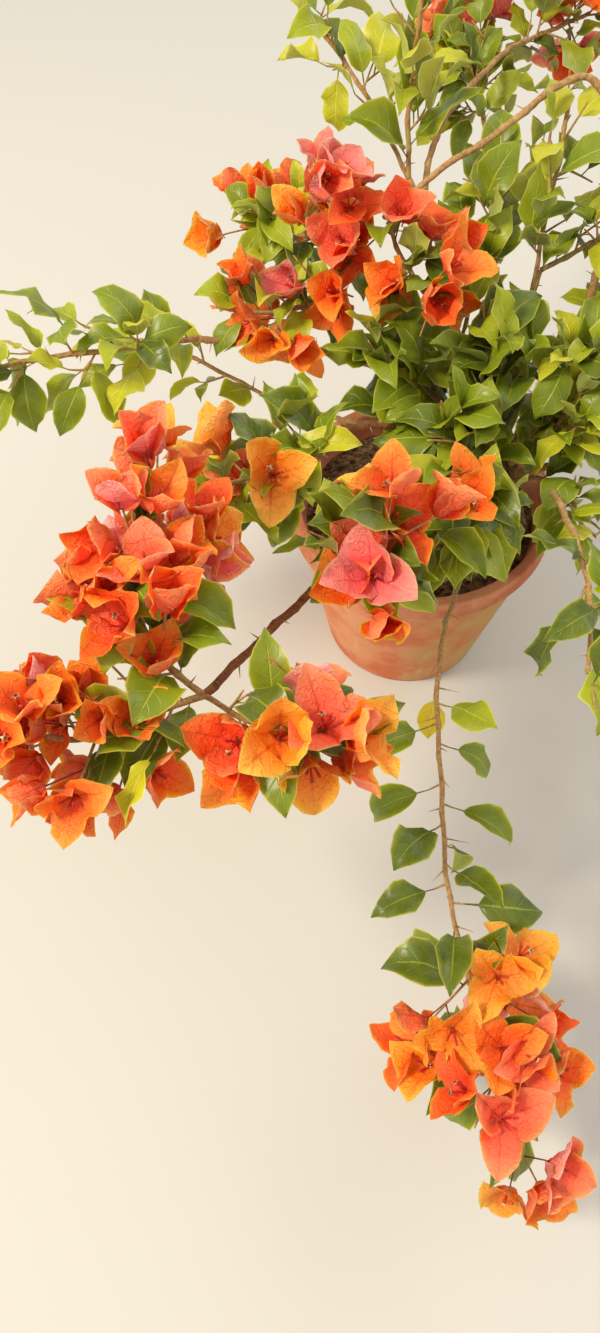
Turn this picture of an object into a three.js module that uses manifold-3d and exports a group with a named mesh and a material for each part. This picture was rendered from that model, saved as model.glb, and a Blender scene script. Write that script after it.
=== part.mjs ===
// A potted bougainvillea shrub with orange blossom, in millimetres, +Z up.
// The origin is the centre of the pot's flat underside. -Y is the front, where one shoot hangs over the rim.
import * as THREE from 'three';
import { mergeVertices } from 'three/addons/utils/BufferGeometryUtils.js';
import Module from 'manifold-3d';

const wasm = await Module();
wasm.setup();

// Pot and soil
const POT_HEIGHT = 245;
const POT_FOOT_RADIUS = 100;
const POT_RIM_RADIUS = 150;
const POT_NECK_RADIUS = 141;
const POT_WALL = 12;
const POT_FLOOR = 14;
const POT_FLOOR_RADIUS = 90;
const RIM_BAND_HEIGHT = 28;
const EDGE_ROUND = 3;
const POT_SIDES = 36;
const SOIL_TOP = 217;
const SOIL_EDGE_DROP = 4;
const SOIL_EDGE_WIDTH = 9;

// Gap kept between pieces that touch on the real plant
const GAP = 0.35;

// Trunk: a short leaning stem with a flared, ribbed foot
const TRUNK_FOOT = [94, -30, SOIL_TOP + GAP];
const TRUNK_BENDS = [[93, -26, 243], [85, -11, 277]];
const TRUNK_TOP = [79, -2, 305];
const TRUNK_FOOT_RADIUS = 19;
const TRUNK_TOP_RADIUS = 15;
const TRUNK_FLARE = 6;
const TRUNK_FLARE_SHARE = 0.16;
const TRUNK_RIBS = 4;
const TRUNK_RIB_DEPTH = 0.1;
const TRUNK_TWIST = 0.9;
const TRUNK_SIDES = 12;
const TRUNK_RINGS = 8;
const DOME_HEIGHT = 6;
const DOME_SHARE = 0.72;

// Limbs
const BOUGH_SIDES = 5;
const BOUGH_STEP = 44;
const STEM_SIDES = 3;
const STEM_STEP = 50;
const STEM_TIP_RADIUS = 2.4;
const LEAST_STEPS = 3;
const STEM_LINE_STEPS = 10;
const TWIG_ROOT_RADIUS = 1.2;
const TWIG_TIP_RADIUS = 1.1;
const TWIG_SPREAD = 62;
const TIP_SPREAD = 12;
const TWIG_LIFT = 0.35;
const TWIG_SIZE_RANGE = 0.25;
const FIRST_TWIG = 0.1;
const TURN_PER_TWIG = 137.5;
const ATTEMPTS = 12;
const ATTEMPT_TURN = 0.4;
const ATTEMPT_SHORTER = 0.04;

// Leaves and blossom
const LEAF_LENGTH = 60;
const LEAF_WIDTH = 38;
const LEAF_THICKNESS = 1.3;
const LEAF_FOLD = 5;
const LEAF_SIZE_RANGE = 0.25;
const LEAF_TIP_DROP = 4;
const LEAF_SHOULDER = 0.44;
const LEAF_ROLL = 0.9;
const SIDE_LEAVES = 2;
const SIDE_LEAVES_IN_BLOOM = 1;
const SIDE_LEAF_PLACES = [0.76, 0.36];
const SIDE_LEAF_LEAN = 0.55;
const LEAF_DROOP = 0.45;
const BRACT_LENGTH = 45;
const BRACT_WIDTH = 34;
const BRACT_CUP = 5;
const BRACT_OPENING = 52;
const BRACTS = 3;
const BRACT_SHOULDER = 0.46;
const NOTCH_RADIUS = 6;
const HUB_HEIGHT = 2.6;
const HUB_DEPTH = 6;
const BRACT_SIZE_RANGE = 0.1;
const BLOSSOM_LIFT = 0.4;
const ROOT_HEIGHT = 0.8;
const TEST_MARGIN = 1.2;
const CLEAR_ROOT = 7;
const CELL_MARGIN = 0.03;
const MOSTLY_BLOSSOM = 0.5;

// Boughs: the limb that each springs from and how far along it, its radius at both ends, and the points
// that it bends through up to its tip. The arch is two limbs that meet at its top.
const BOUGHS = {
  front: {
    from: 'trunk', at: 0.45, radius: [2.9, 2.4],
    through: [[60, -62, 262], [28, -142, 302], [0, -222, 323]],
  },
  left_front: {
    from: 'trunk', at: 0.8, radius: [4, 3.1],
    through: [[-42, -151, 366], [-113, -261, 452], [-205, -395, 496]],
  },
  front_centre: {
    from: 'left_front', at: 0.36, radius: [3.2, 2.6],
    through: [[-58, -200, 424], [-78, -246, 446]],
  },
  left_middle: {
    from: 'trunk', at: 0.92, radius: [3.6, 2.8],
    through: [[0, -38, 375], [-60, -75, 432], [-110, -104, 456]],
  },
  left_long: {
    from: 'trunk', at: 0.86, radius: [4.2, 3.2],
    through: [[-25, 54, 363], [-116, 59, 400], [-235, 24, 447]],
  },
  left_far: {
    from: 'left_long', at: 0.22, radius: [2.8, 2.2],
    through: [[-80, 8, 352], [-172, 12, 385]],
  },
  top_left: {
    from: 'trunk', at: 0.97, radius: [4.4, 3.4],
    through: [[30, 50, 372], [-20, 90, 425], [-80, 108, 455]],
  },
  upright: {
    from: 'trunk', at: 1, radius: [4.6, 3.6],
    through: [[42, 44, 360], [4, 118, 435], [-30, 178, 510]],
  },
  top_right: {
    from: 'upright', at: 0.88, radius: [3.2, 2.6],
    through: [[0, 225, 530], [42, 290, 545], [82, 350, 545]],
  },
  arch_rise: {
    from: 'trunk', at: 0.94, radius: [4.2, 3.5],
    through: [[112, 45, 350], [160, 110, 450], [158, 200, 572]],
  },
  arch_fall: {
    from: 'arch_rise', at: 1, radius: [3.4, 2.8],
    through: [[128, 214, 590], [41, 163, 562], [-14, 141, 537], [-53, 109, 512]],
  },
  right: {
    from: 'trunk', at: 0.9, radius: [3.8, 3],
    through: [[72, 50, 375], [103, 112, 456]],
  },
  right_low: {
    from: 'right', at: 0.4, radius: [2.8, 2.3],
    through: [[109, 62, 386], [140, 85, 400]],
  },
  right_front: {
    from: 'trunk', at: 0.7, radius: [3.6, 2.9],
    through: [[105, -70, 350], [112, -180, 398]],
  },
  right_far: {
    from: 'trunk', at: 0.8, radius: [4.2, 3.2],
    through: [[150, -30, 340], [220, -20, 410], [280, -10, 450]],
  },
  back_right: {
    from: 'trunk', at: 0.65, radius: [4.2, 3.2],
    through: [[120, 55, 312], [190, 150, 372], [250, 230, 430]],
  },
  back: {
    from: 'trunk', at: 0.98, radius: [4.2, 3.2],
    through: [[62, 100, 380], [70, 200, 450], [60, 290, 490]],
  },
  back_left: {
    from: 'trunk', at: 0.9, radius: [4.2, 3.2],
    through: [[24, 84, 340], [-50, 160, 388], [-110, 215, 412]],
  },
};

// Sprays: each mass of leaves and blossom. Its stem grows on from a limb's tip, or from `at` along it, and
// bends through the points. Its space reaches `reach` from the stem. Its twigs end in a leaf, or in a
// blossom from the share `bloomFrom` of the stem onwards where that is given.
const SPRAYS = {
  front_drop: {
    on: 'front', radius: 2.4, reach: 92, seed: 11,
    through: [[-12, -290, 319], [-9, -370, 280], [-2, -450, 228], [22, -530, 174], [48, -630, 132]],
    twigs: 23, leafTwig: 14, bloomTwig: 54, bloomFrom: 0.66, sideLeaves: 0,
  },
  left_high: {
    on: 'left_front', radius: 2.6, reach: 92, seed: 12,
    through: [[-230, -384, 522], [-252, -344, 542], [-240, -296, 554]],
    twigs: 9, leafTwig: 46, bloomTwig: 46, bloomFrom: 0.15,
  },
  left_low: {
    on: 'left_front', radius: 2.8, reach: 92, seed: 13,
    through: [[-242, -414, 501], [-280, -434, 506], [-318, -436, 516]],
    twigs: 10, leafTwig: 42, bloomTwig: 42, bloomFrom: 0.2,
  },
  left_near: {
    on: 'left_front', radius: 2.2, reach: 76, seed: 14,
    through: [[-166, -420, 498], [-128, -436, 506]],
    twigs: 6, leafTwig: 30, bloomTwig: 30, bloomFrom: 0.3,
  },
  front_centre: {
    on: 'front_centre', radius: 2.2, reach: 84, seed: 15,
    through: [[-80, -270, 470], [-72, -266, 508]],
    twigs: 8, leafTwig: 44, bloomTwig: 44, bloomFrom: 0.3,
  },
  left_middle: {
    on: 'left_middle', radius: 2.4, reach: 76, seed: 16,
    through: [[-154, -156, 470], [-202, -198, 488]],
    twigs: 8, leafTwig: 38, bloomTwig: 38, bloomFrom: 0.55,
  },
  left_long: {
    on: 'left_long', radius: 2.8, reach: 72, seed: 17,
    through: [[-306, -28, 480], [-397, -66, 494], [-465, -112, 486]],
    twigs: 12, leafTwig: 30, bloomTwig: 36, bloomFrom: 0.8,
  },
  left_far: {
    on: 'left_far', radius: 1.9, reach: 58, seed: 18,
    through: [[-255, 36, 418], [-330, 44, 437]],
    twigs: 6, leafTwig: 24,
  },
  top_left_low: {
    on: 'top_left', radius: 2.4, reach: 88, seed: 19,
    through: [[-112, 76, 450], [-152, 58, 452], [-190, 44, 460]],
    twigs: 9, leafTwig: 42, bloomTwig: 42, bloomFrom: 0.2,
  },
  top_left_high: {
    on: 'top_left', radius: 2.4, reach: 84, seed: 20,
    through: [[-88, 108, 488], [-102, 104, 515], [-110, 102, 538]],
    twigs: 8, leafTwig: 40, bloomTwig: 40, bloomFrom: 0.2,
  },
  top_centre: {
    on: 'arch_fall', radius: 2.3, reach: 80, seed: 21,
    through: [[-42, 80, 498], [-26, 52, 488], [-6, 24, 482]],
    twigs: 8, leafTwig: 40, bloomTwig: 40, bloomFrom: 0.2,
  },
  top_upright: {
    on: 'upright', radius: 2.6, reach: 78, seed: 22,
    through: [[-34, 200, 570], [-30, 214, 650], [-26, 222, 726]],
    twigs: 10, leafTwig: 34,
  },
  top_upright_left: {
    on: 'upright', radius: 2.2, reach: 70, seed: 23,
    through: [[-62, 226, 548], [-98, 268, 580], [-134, 310, 606]],
    twigs: 7, leafTwig: 30,
  },
  top_right: {
    on: 'top_right', radius: 2.2, reach: 80, seed: 24,
    through: [[136, 400, 538], [184, 452, 528]],
    twigs: 9, leafTwig: 38, bloomTwig: 38, bloomFrom: 0.5,
  },
  right_rear: {
    on: 'right', radius: 2.5, reach: 80, seed: 25,
    through: [[160, 122, 486], [218, 132, 512], [268, 138, 522]],
    twigs: 9, leafTwig: 38, bloomTwig: 38, bloomFrom: 0.72,
  },
  right_low: {
    on: 'right_low', radius: 2, reach: 74, seed: 26,
    through: [[205, 84, 418], [275, 96, 436]],
    twigs: 7, leafTwig: 34,
  },
  right_front: {
    on: 'right_front', radius: 2.4, reach: 76, seed: 27,
    through: [[114, -245, 398], [108, -310, 380]],
    twigs: 6, leafTwig: 34,
  },
  right_far: {
    on: 'right_far', radius: 2.6, reach: 86, seed: 28,
    through: [[345, 6, 478], [400, 24, 490]],
    twigs: 10, leafTwig: 42, bloomTwig: 42, bloomFrom: 0.45,
  },
  back_right: {
    on: 'back_right', radius: 2.6, reach: 90, seed: 29,
    through: [[300, 295, 478], [335, 345, 505]],
    twigs: 10, leafTwig: 44, bloomTwig: 44, bloomFrom: 0.5,
  },
  back: {
    on: 'back', radius: 2.6, reach: 90, seed: 30,
    through: [[52, 360, 508], [44, 430, 520]],
    twigs: 10, leafTwig: 44, bloomTwig: 44, bloomFrom: 0.7,
  },
  back_left: {
    on: 'back_left', radius: 2.6, reach: 90, seed: 31,
    through: [[-146, 242, 404], [-182, 270, 394]],
    twigs: 10, leafTwig: 44, bloomTwig: 44, bloomFrom: 0.5,
  },
  centre_left: {
    on: 'trunk', at: 0.95, radius: 2.8, reach: 80, seed: 32,
    through: [[30, 2, 352], [-8, 4, 395], [-56, -2, 436]],
    twigs: 12, leafTwig: 36,
  },
  centre_right: {
    on: 'trunk', at: 0.9, radius: 2.8, reach: 80, seed: 33,
    through: [[100, -22, 340], [120, -28, 392], [132, -10, 440]],
    twigs: 12, leafTwig: 36,
  },
  centre_top: {
    on: 'trunk', at: 1, radius: 2.8, reach: 80, seed: 34,
    through: [[58, -12, 352], [46, -14, 405], [40, 6, 455]],
    twigs: 13, leafTwig: 38,
  },
  centre_front: {
    on: 'trunk', at: 0.75, radius: 2.6, reach: 80, seed: 35,
    through: [[52, -40, 330], [24, -62, 372], [2, -66, 416]],
    twigs: 11, leafTwig: 34,
  },
  rim_right: {
    on: 'right_front', at: 0.34, radius: 2.2, reach: 66, seed: 36,
    through: [[130, -78, 338], [142, -112, 334]],
    twigs: 5, leafTwig: 26,
  },
  rim_front: {
    on: 'left_front', at: 0.16, radius: 2.4, reach: 80, seed: 37,
    through: [[20, -122, 366], [0, -156, 394], [-16, -186, 408]],
    twigs: 9, leafTwig: 32, bloomTwig: 36, bloomFrom: 0.78,
  },
  right_upright: {
    on: 'right', at: 0.9, radius: 2.2, reach: 72, seed: 38,
    through: [[100, 126, 500], [114, 176, 535], [122, 222, 558]],
    twigs: 9, leafTwig: 34,
  },
  under_arch: {
    on: 'upright', at: 0.42, radius: 2.2, reach: 74, seed: 39,
    through: [[42, 112, 450], [54, 146, 488], [46, 186, 512]],
    twigs: 9, leafTwig: 34,
  },
};

const UP = new THREE.Vector3(0, 0, 1);
const NEARLY_UPRIGHT = 0.05;
const WELD = 1e-3;
const degrees = THREE.MathUtils.degToRad;

// Repeatable numbers from 0 to 1.
function seededRandom(seed) {
  const [spread, multiplier, modulus] = [7919, 48271, 2147483647];
  let state = seed * spread;
  return () => {
    state = (state * multiplier) % modulus;
    return state / modulus;
  };
}

// A closed solid from corner points and the triangles between them, seen anticlockwise from outside.
function solidFromFaces(points, triangles) {
  const vertProperties = new Float32Array(points.flatMap((p) => p.toArray()));
  const triVerts = new Uint32Array(triangles.flat());
  return new wasm.Manifold(new wasm.Mesh({ numProp: 3, vertProperties, triVerts }));
}

// A closed solid from a three.js geometry.
function solidFromGeometry(geometry) {
  geometry.deleteAttribute('normal');
  geometry.deleteAttribute('uv');
  const merged = mergeVertices(geometry, WELD);
  return new wasm.Manifold(new wasm.Mesh({
    numProp: 3,
    vertProperties: merged.attributes.position.array,
    triVerts: new Uint32Array(merged.index.array),
  }));
}

function geometryFromSolid(solid) {
  const mesh = solid.getMesh();
  return new THREE.BufferGeometry()
    .setAttribute('position', new THREE.BufferAttribute(mesh.vertProperties, 3))
    .setIndex(new THREE.BufferAttribute(mesh.triVerts, 1));
}

// Joins pieces into one body: sealed hollows are filled and loose scraps dropped.
function fuse(pieces) {
  return wasm.Manifold.union(pieces).decompose().reduce((a, b) => (b.volume() > a.volume() ? b : a));
}

// Skins a row of rings that have the same number of corners, with a flat face at both ends.
function skinRings(rings) {
  const sides = rings[0].length;
  const triangles = [];
  for (let i = 0; i < rings.length - 1; i += 1) {
    for (let k = 0; k < sides; k += 1) {
      const next = (k + 1) % sides;
      const low = i * sides;
      const high = low + sides;
      triangles.push([low + k, low + next, high + next], [low + k, high + next, high + k]);
    }
  }
  const last = (rings.length - 1) * sides;
  for (let k = 1; k < sides - 1; k += 1) {
    triangles.push([0, k + 1, k], [last, last + k, last + k + 1]);
  }
  return solidFromFaces(rings.flat(), triangles);
}

// Two directions square to a limb's own, right-handed with it: the first level, the second as near to
// upright as it can be.
function squareTo(direction) {
  const side = new THREE.Vector3().crossVectors(UP, direction);
  if (side.length() < NEARLY_UPRIGHT) side.set(1, 0, 0);
  side.normalize();
  return [side, new THREE.Vector3().crossVectors(direction, side).normalize()];
}

// A round tapering limb along a curve, grown outwards by `extra`.
function limbSolid(curve, radii, sides, steps, extra = 0) {
  const frames = curve.computeFrenetFrames(steps, false);
  const rings = [];
  for (let i = 0; i <= steps; i += 1) {
    const share = i / steps;
    const radius = THREE.MathUtils.lerp(radii[0], radii[1], share) + extra;
    const centre = curve.getPointAt(share);
    if (i === 0) centre.addScaledVector(frames.tangents[i], -extra);
    if (i === steps) centre.addScaledVector(frames.tangents[i], extra);
    const ring = [];
    for (let k = 0; k < sides; k += 1) {
      const angle = (2 * Math.PI * k) / sides;
      ring.push(centre.clone()
        .addScaledVector(frames.normals[i], radius * Math.cos(angle))
        .addScaledVector(frames.binormals[i], radius * Math.sin(angle)));
    }
    rings.push(ring);
  }
  return skinRings(rings);
}

// A leaf: a pointed oval blade folded along its midrib, 8 faces, from `root` along `direction`,
// rolled by an angle from lying level.
function leafSolid(root, direction, roll, scale, extra = 0) {
  const [side, face] = squareTo(direction).map((across) => across.applyAxisAngle(direction, roll));
  const length = LEAF_LENGTH * scale;
  const halfWidth = (LEAF_WIDTH * scale) / 2 + extra;
  const at = (along, across, up) => root.clone()
    .addScaledVector(direction, along)
    .addScaledVector(side, across)
    .addScaledVector(face, up);
  const points = [
    at(-extra, 0, ROOT_HEIGHT / 2 + extra),
    at(-extra, 0, -ROOT_HEIGHT / 2 - extra),
    at(length * LEAF_SHOULDER, -halfWidth, LEAF_FOLD * scale),
    at(length * LEAF_SHOULDER, halfWidth, LEAF_FOLD * scale),
    at(length + extra, 0, -LEAF_TIP_DROP * scale),
    at(length * LEAF_SHOULDER, 0, LEAF_THICKNESS + extra),
  ];
  const [baseTop, baseUnder, right, left, tip, rib] = [0, 1, 2, 3, 4, 5];
  return solidFromFaces(points, [
    [baseTop, right, rib], [rib, right, tip], [rib, tip, left], [rib, left, baseTop],
    [baseUnder, tip, right], [baseUnder, left, tip],
    [baseTop, baseUnder, right], [baseTop, left, baseUnder],
  ]);
}

// The two rings of a three-sided twig, the second turned so that its corners lie at `turn`.
function twigRings(root, direction, turn, length, extra) {
  const [side, rise] = squareTo(direction);
  const ringAt = (along, radius) => [0, 1, 2].map((k) => {
    const angle = turn + (2 * Math.PI * k) / 3;
    return root.clone()
      .addScaledVector(direction, along)
      .addScaledVector(side, (radius + extra) * Math.cos(angle))
      .addScaledVector(rise, (radius + extra) * Math.sin(angle));
  });
  return [ringAt(-extra, TWIG_ROOT_RADIUS), ringAt(length, TWIG_TIP_RADIUS)];
}
const TWIG_FACES = [[0, 2, 1], [0, 1, 4], [0, 4, 3], [1, 2, 5], [1, 5, 4], [2, 0, 3], [2, 3, 5]];

// A twig that ends in a leaf: 16 faces, the blade opening out of the twig's last ring.
function leafTwigSolid(root, direction, roll, size, extra = 0) {
  const [foot, end] = twigRings(root, direction, Math.PI / 2 + roll, size.twig, Math.min(extra, GAP));
  const [side, face] = squareTo(direction).map((across) => across.applyAxisAngle(direction, roll));
  const length = LEAF_LENGTH * size.scale;
  const halfWidth = (LEAF_WIDTH * size.scale) / 2 + extra;
  const at = (along, across, up) => root.clone()
    .addScaledVector(direction, size.twig + along)
    .addScaledVector(side, across)
    .addScaledVector(face, up);
  const blade = [
    at(length * LEAF_SHOULDER, -halfWidth, LEAF_FOLD * size.scale),
    at(length * LEAF_SHOULDER, halfWidth, LEAF_FOLD * size.scale),
    at(length + extra, 0, -LEAF_TIP_DROP * size.scale),
    at(length * LEAF_SHOULDER, 0, LEAF_THICKNESS + extra),
  ];
  const [top, left, right, shoulderLeft, shoulderRight, tip, rib] = [3, 4, 5, 6, 7, 8, 9];
  return solidFromFaces([...foot, ...end, ...blade], [
    ...TWIG_FACES,
    [top, shoulderLeft, rib], [rib, shoulderLeft, tip], [rib, tip, shoulderRight], [rib, shoulderRight, top],
    [top, left, shoulderLeft], [top, shoulderRight, right],
    [left, tip, shoulderLeft], [right, shoulderRight, tip], [left, right, tip],
  ]);
}

// A twig that ends in a blossom: three cupped, pointed bracts round one hub, 34 faces.
function blossomTwigSolid(root, direction, turn, size, extra = 0) {
  const notchTurn = turn + Math.PI / BRACTS;
  const [foot, end] = twigRings(root, direction, notchTurn, size.twig - HUB_DEPTH, Math.min(extra, GAP));
  const axis = direction.clone().addScaledVector(UP, BLOSSOM_LIFT).normalize();
  const [side, rise] = squareTo(axis);
  const hub = root.clone().addScaledVector(direction, size.twig);
  const at = (angle, across, up) => hub.clone()
    .addScaledVector(side, Math.cos(angle) * across)
    .addScaledVector(rise, Math.sin(angle) * across)
    .addScaledVector(axis, up);
  const opening = degrees(BRACT_OPENING);
  const length = BRACT_LENGTH * size.scale + extra;
  const halfWidth = (BRACT_WIDTH * size.scale) / 2 + extra;
  const radius = length * BRACT_SHOULDER * Math.sin(opening);
  const swing = Math.atan2(halfWidth, radius);
  const height = length * BRACT_SHOULDER * Math.cos(opening) + BRACT_CUP;
  const points = [...foot, ...end];
  const triangles = [...TWIG_FACES];
  const top = points.length + 4 * BRACTS;
  for (let b = 0; b < BRACTS; b += 1) {
    const middle = turn + (2 * Math.PI * b) / BRACTS;
    const [right, tip, left, notch] = [6, 7, 8, 9].map((k) => 4 * b + k);
    const before = (b + BRACTS - 1) % BRACTS;
    const notchBefore = 4 * before + 9;
    points.push(
      at(middle - swing, Math.hypot(radius, halfWidth), height),
      at(middle, length * Math.sin(opening), length * Math.cos(opening) - BRACT_CUP),
      at(middle + swing, Math.hypot(radius, halfWidth), height),
      at(middle + Math.PI / BRACTS, NOTCH_RADIUS + extra, -extra),
    );
    triangles.push(
      [top, notchBefore, right], [top, right, tip], [top, tip, left], [top, left, notch],
      [right, notchBefore, tip], [tip, notchBefore, notch], [tip, notch, left],
      [3 + before, 3 + b, notch], [3 + before, notch, notchBefore],
    );
  }
  points.push(at(0, 0, HUB_HEIGHT + extra));
  return solidFromFaces(points, triangles);
}

// The pot: a tapered shell with a thick band standing proud round its rim.
function potSolid() {
  const bandFoot = POT_HEIGHT - RIM_BAND_HEIGHT;
  const mouthRadius = POT_RIM_RADIUS - POT_WALL;
  const outline = [
    [0, 0],
    [POT_FOOT_RADIUS - EDGE_ROUND, 0],
    [POT_FOOT_RADIUS, EDGE_ROUND],
    [POT_NECK_RADIUS, bandFoot - EDGE_ROUND],
    [POT_RIM_RADIUS - EDGE_ROUND, bandFoot],
    [POT_RIM_RADIUS, bandFoot + EDGE_ROUND],
    [POT_RIM_RADIUS, POT_HEIGHT - EDGE_ROUND],
    [POT_RIM_RADIUS - EDGE_ROUND, POT_HEIGHT],
    [mouthRadius + EDGE_ROUND, POT_HEIGHT],
    [mouthRadius, POT_HEIGHT - EDGE_ROUND],
    [innerRadiusAt(POT_FLOOR), POT_FLOOR],
    [0, POT_FLOOR],
  ];
  return solidFromGeometry(new THREE.LatheGeometry(outline.map((p) => new THREE.Vector2(...p)), POT_SIDES)
    .rotateX(Math.PI / 2));
}

// Radius of the pot's inner wall at a height.
function innerRadiusAt(height) {
  const mouth = POT_HEIGHT - EDGE_ROUND;
  const share = (height - POT_FLOOR) / (mouth - POT_FLOOR);
  return THREE.MathUtils.lerp(POT_FLOOR_RADIUS, POT_RIM_RADIUS - POT_WALL, share);
}

// The soil: flat round the trunk, and a little lower where it meets the wall.
function soilSolid() {
  const edge = SOIL_TOP - SOIL_EDGE_DROP;
  const foot = POT_FLOOR + GAP;
  const outline = [
    [0, foot],
    [innerRadiusAt(foot) - GAP, foot],
    [innerRadiusAt(edge) - GAP, edge],
    [innerRadiusAt(edge) - SOIL_EDGE_WIDTH, SOIL_TOP],
    [0, SOIL_TOP],
  ];
  return solidFromGeometry(new THREE.LatheGeometry(outline.map((p) => new THREE.Vector2(...p)), POT_SIDES)
    .rotateX(Math.PI / 2));
}

const toVectors = (points) => points.map((p) => new THREE.Vector3(...p));
const trunkCurve = new THREE.CatmullRomCurve3(toVectors([TRUNK_FOOT, ...TRUNK_BENDS, TRUNK_TOP]));

// The trunk: level ribbed rings that lean and taper upwards, closed by a low dome at the fork.
function trunkSolid(extra = 0) {
  const rings = [];
  const addRing = (centre, radius, share) => {
    const ring = [];
    for (let k = 0; k < TRUNK_SIDES; k += 1) {
      const angle = (2 * Math.PI * k) / TRUNK_SIDES;
      const rib = 1 + TRUNK_RIB_DEPTH * Math.cos(TRUNK_RIBS * angle + TRUNK_TWIST * 2 * Math.PI * share);
      const reach = radius * rib + extra;
      const spoke = new THREE.Vector3(Math.cos(angle), Math.sin(angle), 0);
      ring.push(centre.clone().addScaledVector(spoke, reach));
    }
    rings.push(ring);
  };
  for (let i = 0; i < TRUNK_RINGS; i += 1) {
    const share = i / (TRUNK_RINGS - 1);
    const flare = TRUNK_FLARE * Math.exp(-share / TRUNK_FLARE_SHARE);
    const radius = THREE.MathUtils.lerp(TRUNK_FOOT_RADIUS, TRUNK_TOP_RADIUS, share) + flare;
    addRing(trunkCurve.getPointAt(share), radius, share);
  }
  const top = new THREE.Vector3(...TRUNK_TOP).addScaledVector(UP, DOME_HEIGHT + extra);
  addRing(top, TRUNK_TOP_RADIUS * DOME_SHARE, 1);
  return skinRings(rings);
}

// Place and direction at a share of a limb's length, on the straight runs between its rings.
function placeOnRings(curve, steps, share) {
  const ring = Math.min(Math.floor(share * steps), steps - 1);
  const [low, high] = [ring, ring + 1].map((k) => curve.getPointAt(k / steps));
  const tangent = high.clone().sub(low).normalize();
  return [low.lerp(high, share * steps - ring), tangent];
}

// Every limb's curve by name, from the trunk outwards.
const curves = { trunk: trunkCurve };
for (const [name, bough] of Object.entries(BOUGHS)) {
  const start = curves[bough.from].getPointAt(bough.at);
  curves[name] = new THREE.CatmullRomCurve3([start, ...toVectors(bough.through)]);
}
const stems = {};
for (const [name, spray] of Object.entries(SPRAYS)) {
  const start = curves[spray.on].getPointAt(spray.at ?? 1);
  stems[name] = new THREE.CatmullRomCurve3([start, ...toVectors(spray.through)]);
}
const stepsAlong = (curve, step) => Math.max(LEAST_STEPS, Math.round(curve.getLength() / step));

// How far a point lies from a spray's stem, as a share of that spray's reach.
const stemLines = {};
for (const [name, curve] of Object.entries(stems)) stemLines[name] = curve.getSpacedPoints(STEM_LINE_STEPS);
const nearest = new THREE.Vector3();
const segment = new THREE.Line3();
function shareOfReach(name, point) {
  const line = stemLines[name];
  let least = Infinity;
  for (let i = 0; i < line.length - 1; i += 1) {
    segment.set(line[i], line[i + 1]).closestPointToPoint(point, true, nearest);
    least = Math.min(least, nearest.distanceTo(point));
  }
  return least / SPRAYS[name].reach;
}

// A point is in a spray's own space when it is within reach and no other stem is nearer for its reach.
function isInOwnSpace(name, point) {
  const own = shareOfReach(name, point);
  if (own >= 1) return false;
  const others = Object.keys(SPRAYS).filter((other) => other !== name);
  return others.every((other) => shareOfReach(other, point) > own + CELL_MARGIN);
}

function boxesMeet(a, b) {
  return [0, 1, 2].every((k) => a.min[k] <= b.max[k] && b.min[k] <= a.max[k]);
}

// Solids that later pieces keep clear of, each with its box.
const obstacles = [];
function addObstacle(solid) {
  obstacles.push({ solid, box: solid.boundingBox() });
}
function crossesAny(piece, others) {
  const box = piece.boundingBox();
  return others.some((other) => boxesMeet(box, other.box) && other.solid.intersect(piece).volume() > 0);
}

// Cuts a limb back to the gap from the obstacles it springs from, and keeps its main body.
function cutClear(limb) {
  const box = limb.boundingBox();
  const near = obstacles.filter((o) => boxesMeet(box, o.box)).map((o) => o.solid);
  if (near.length === 0) return limb;
  return fuse([limb.subtract(wasm.Manifold.union(near))]);
}

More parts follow.
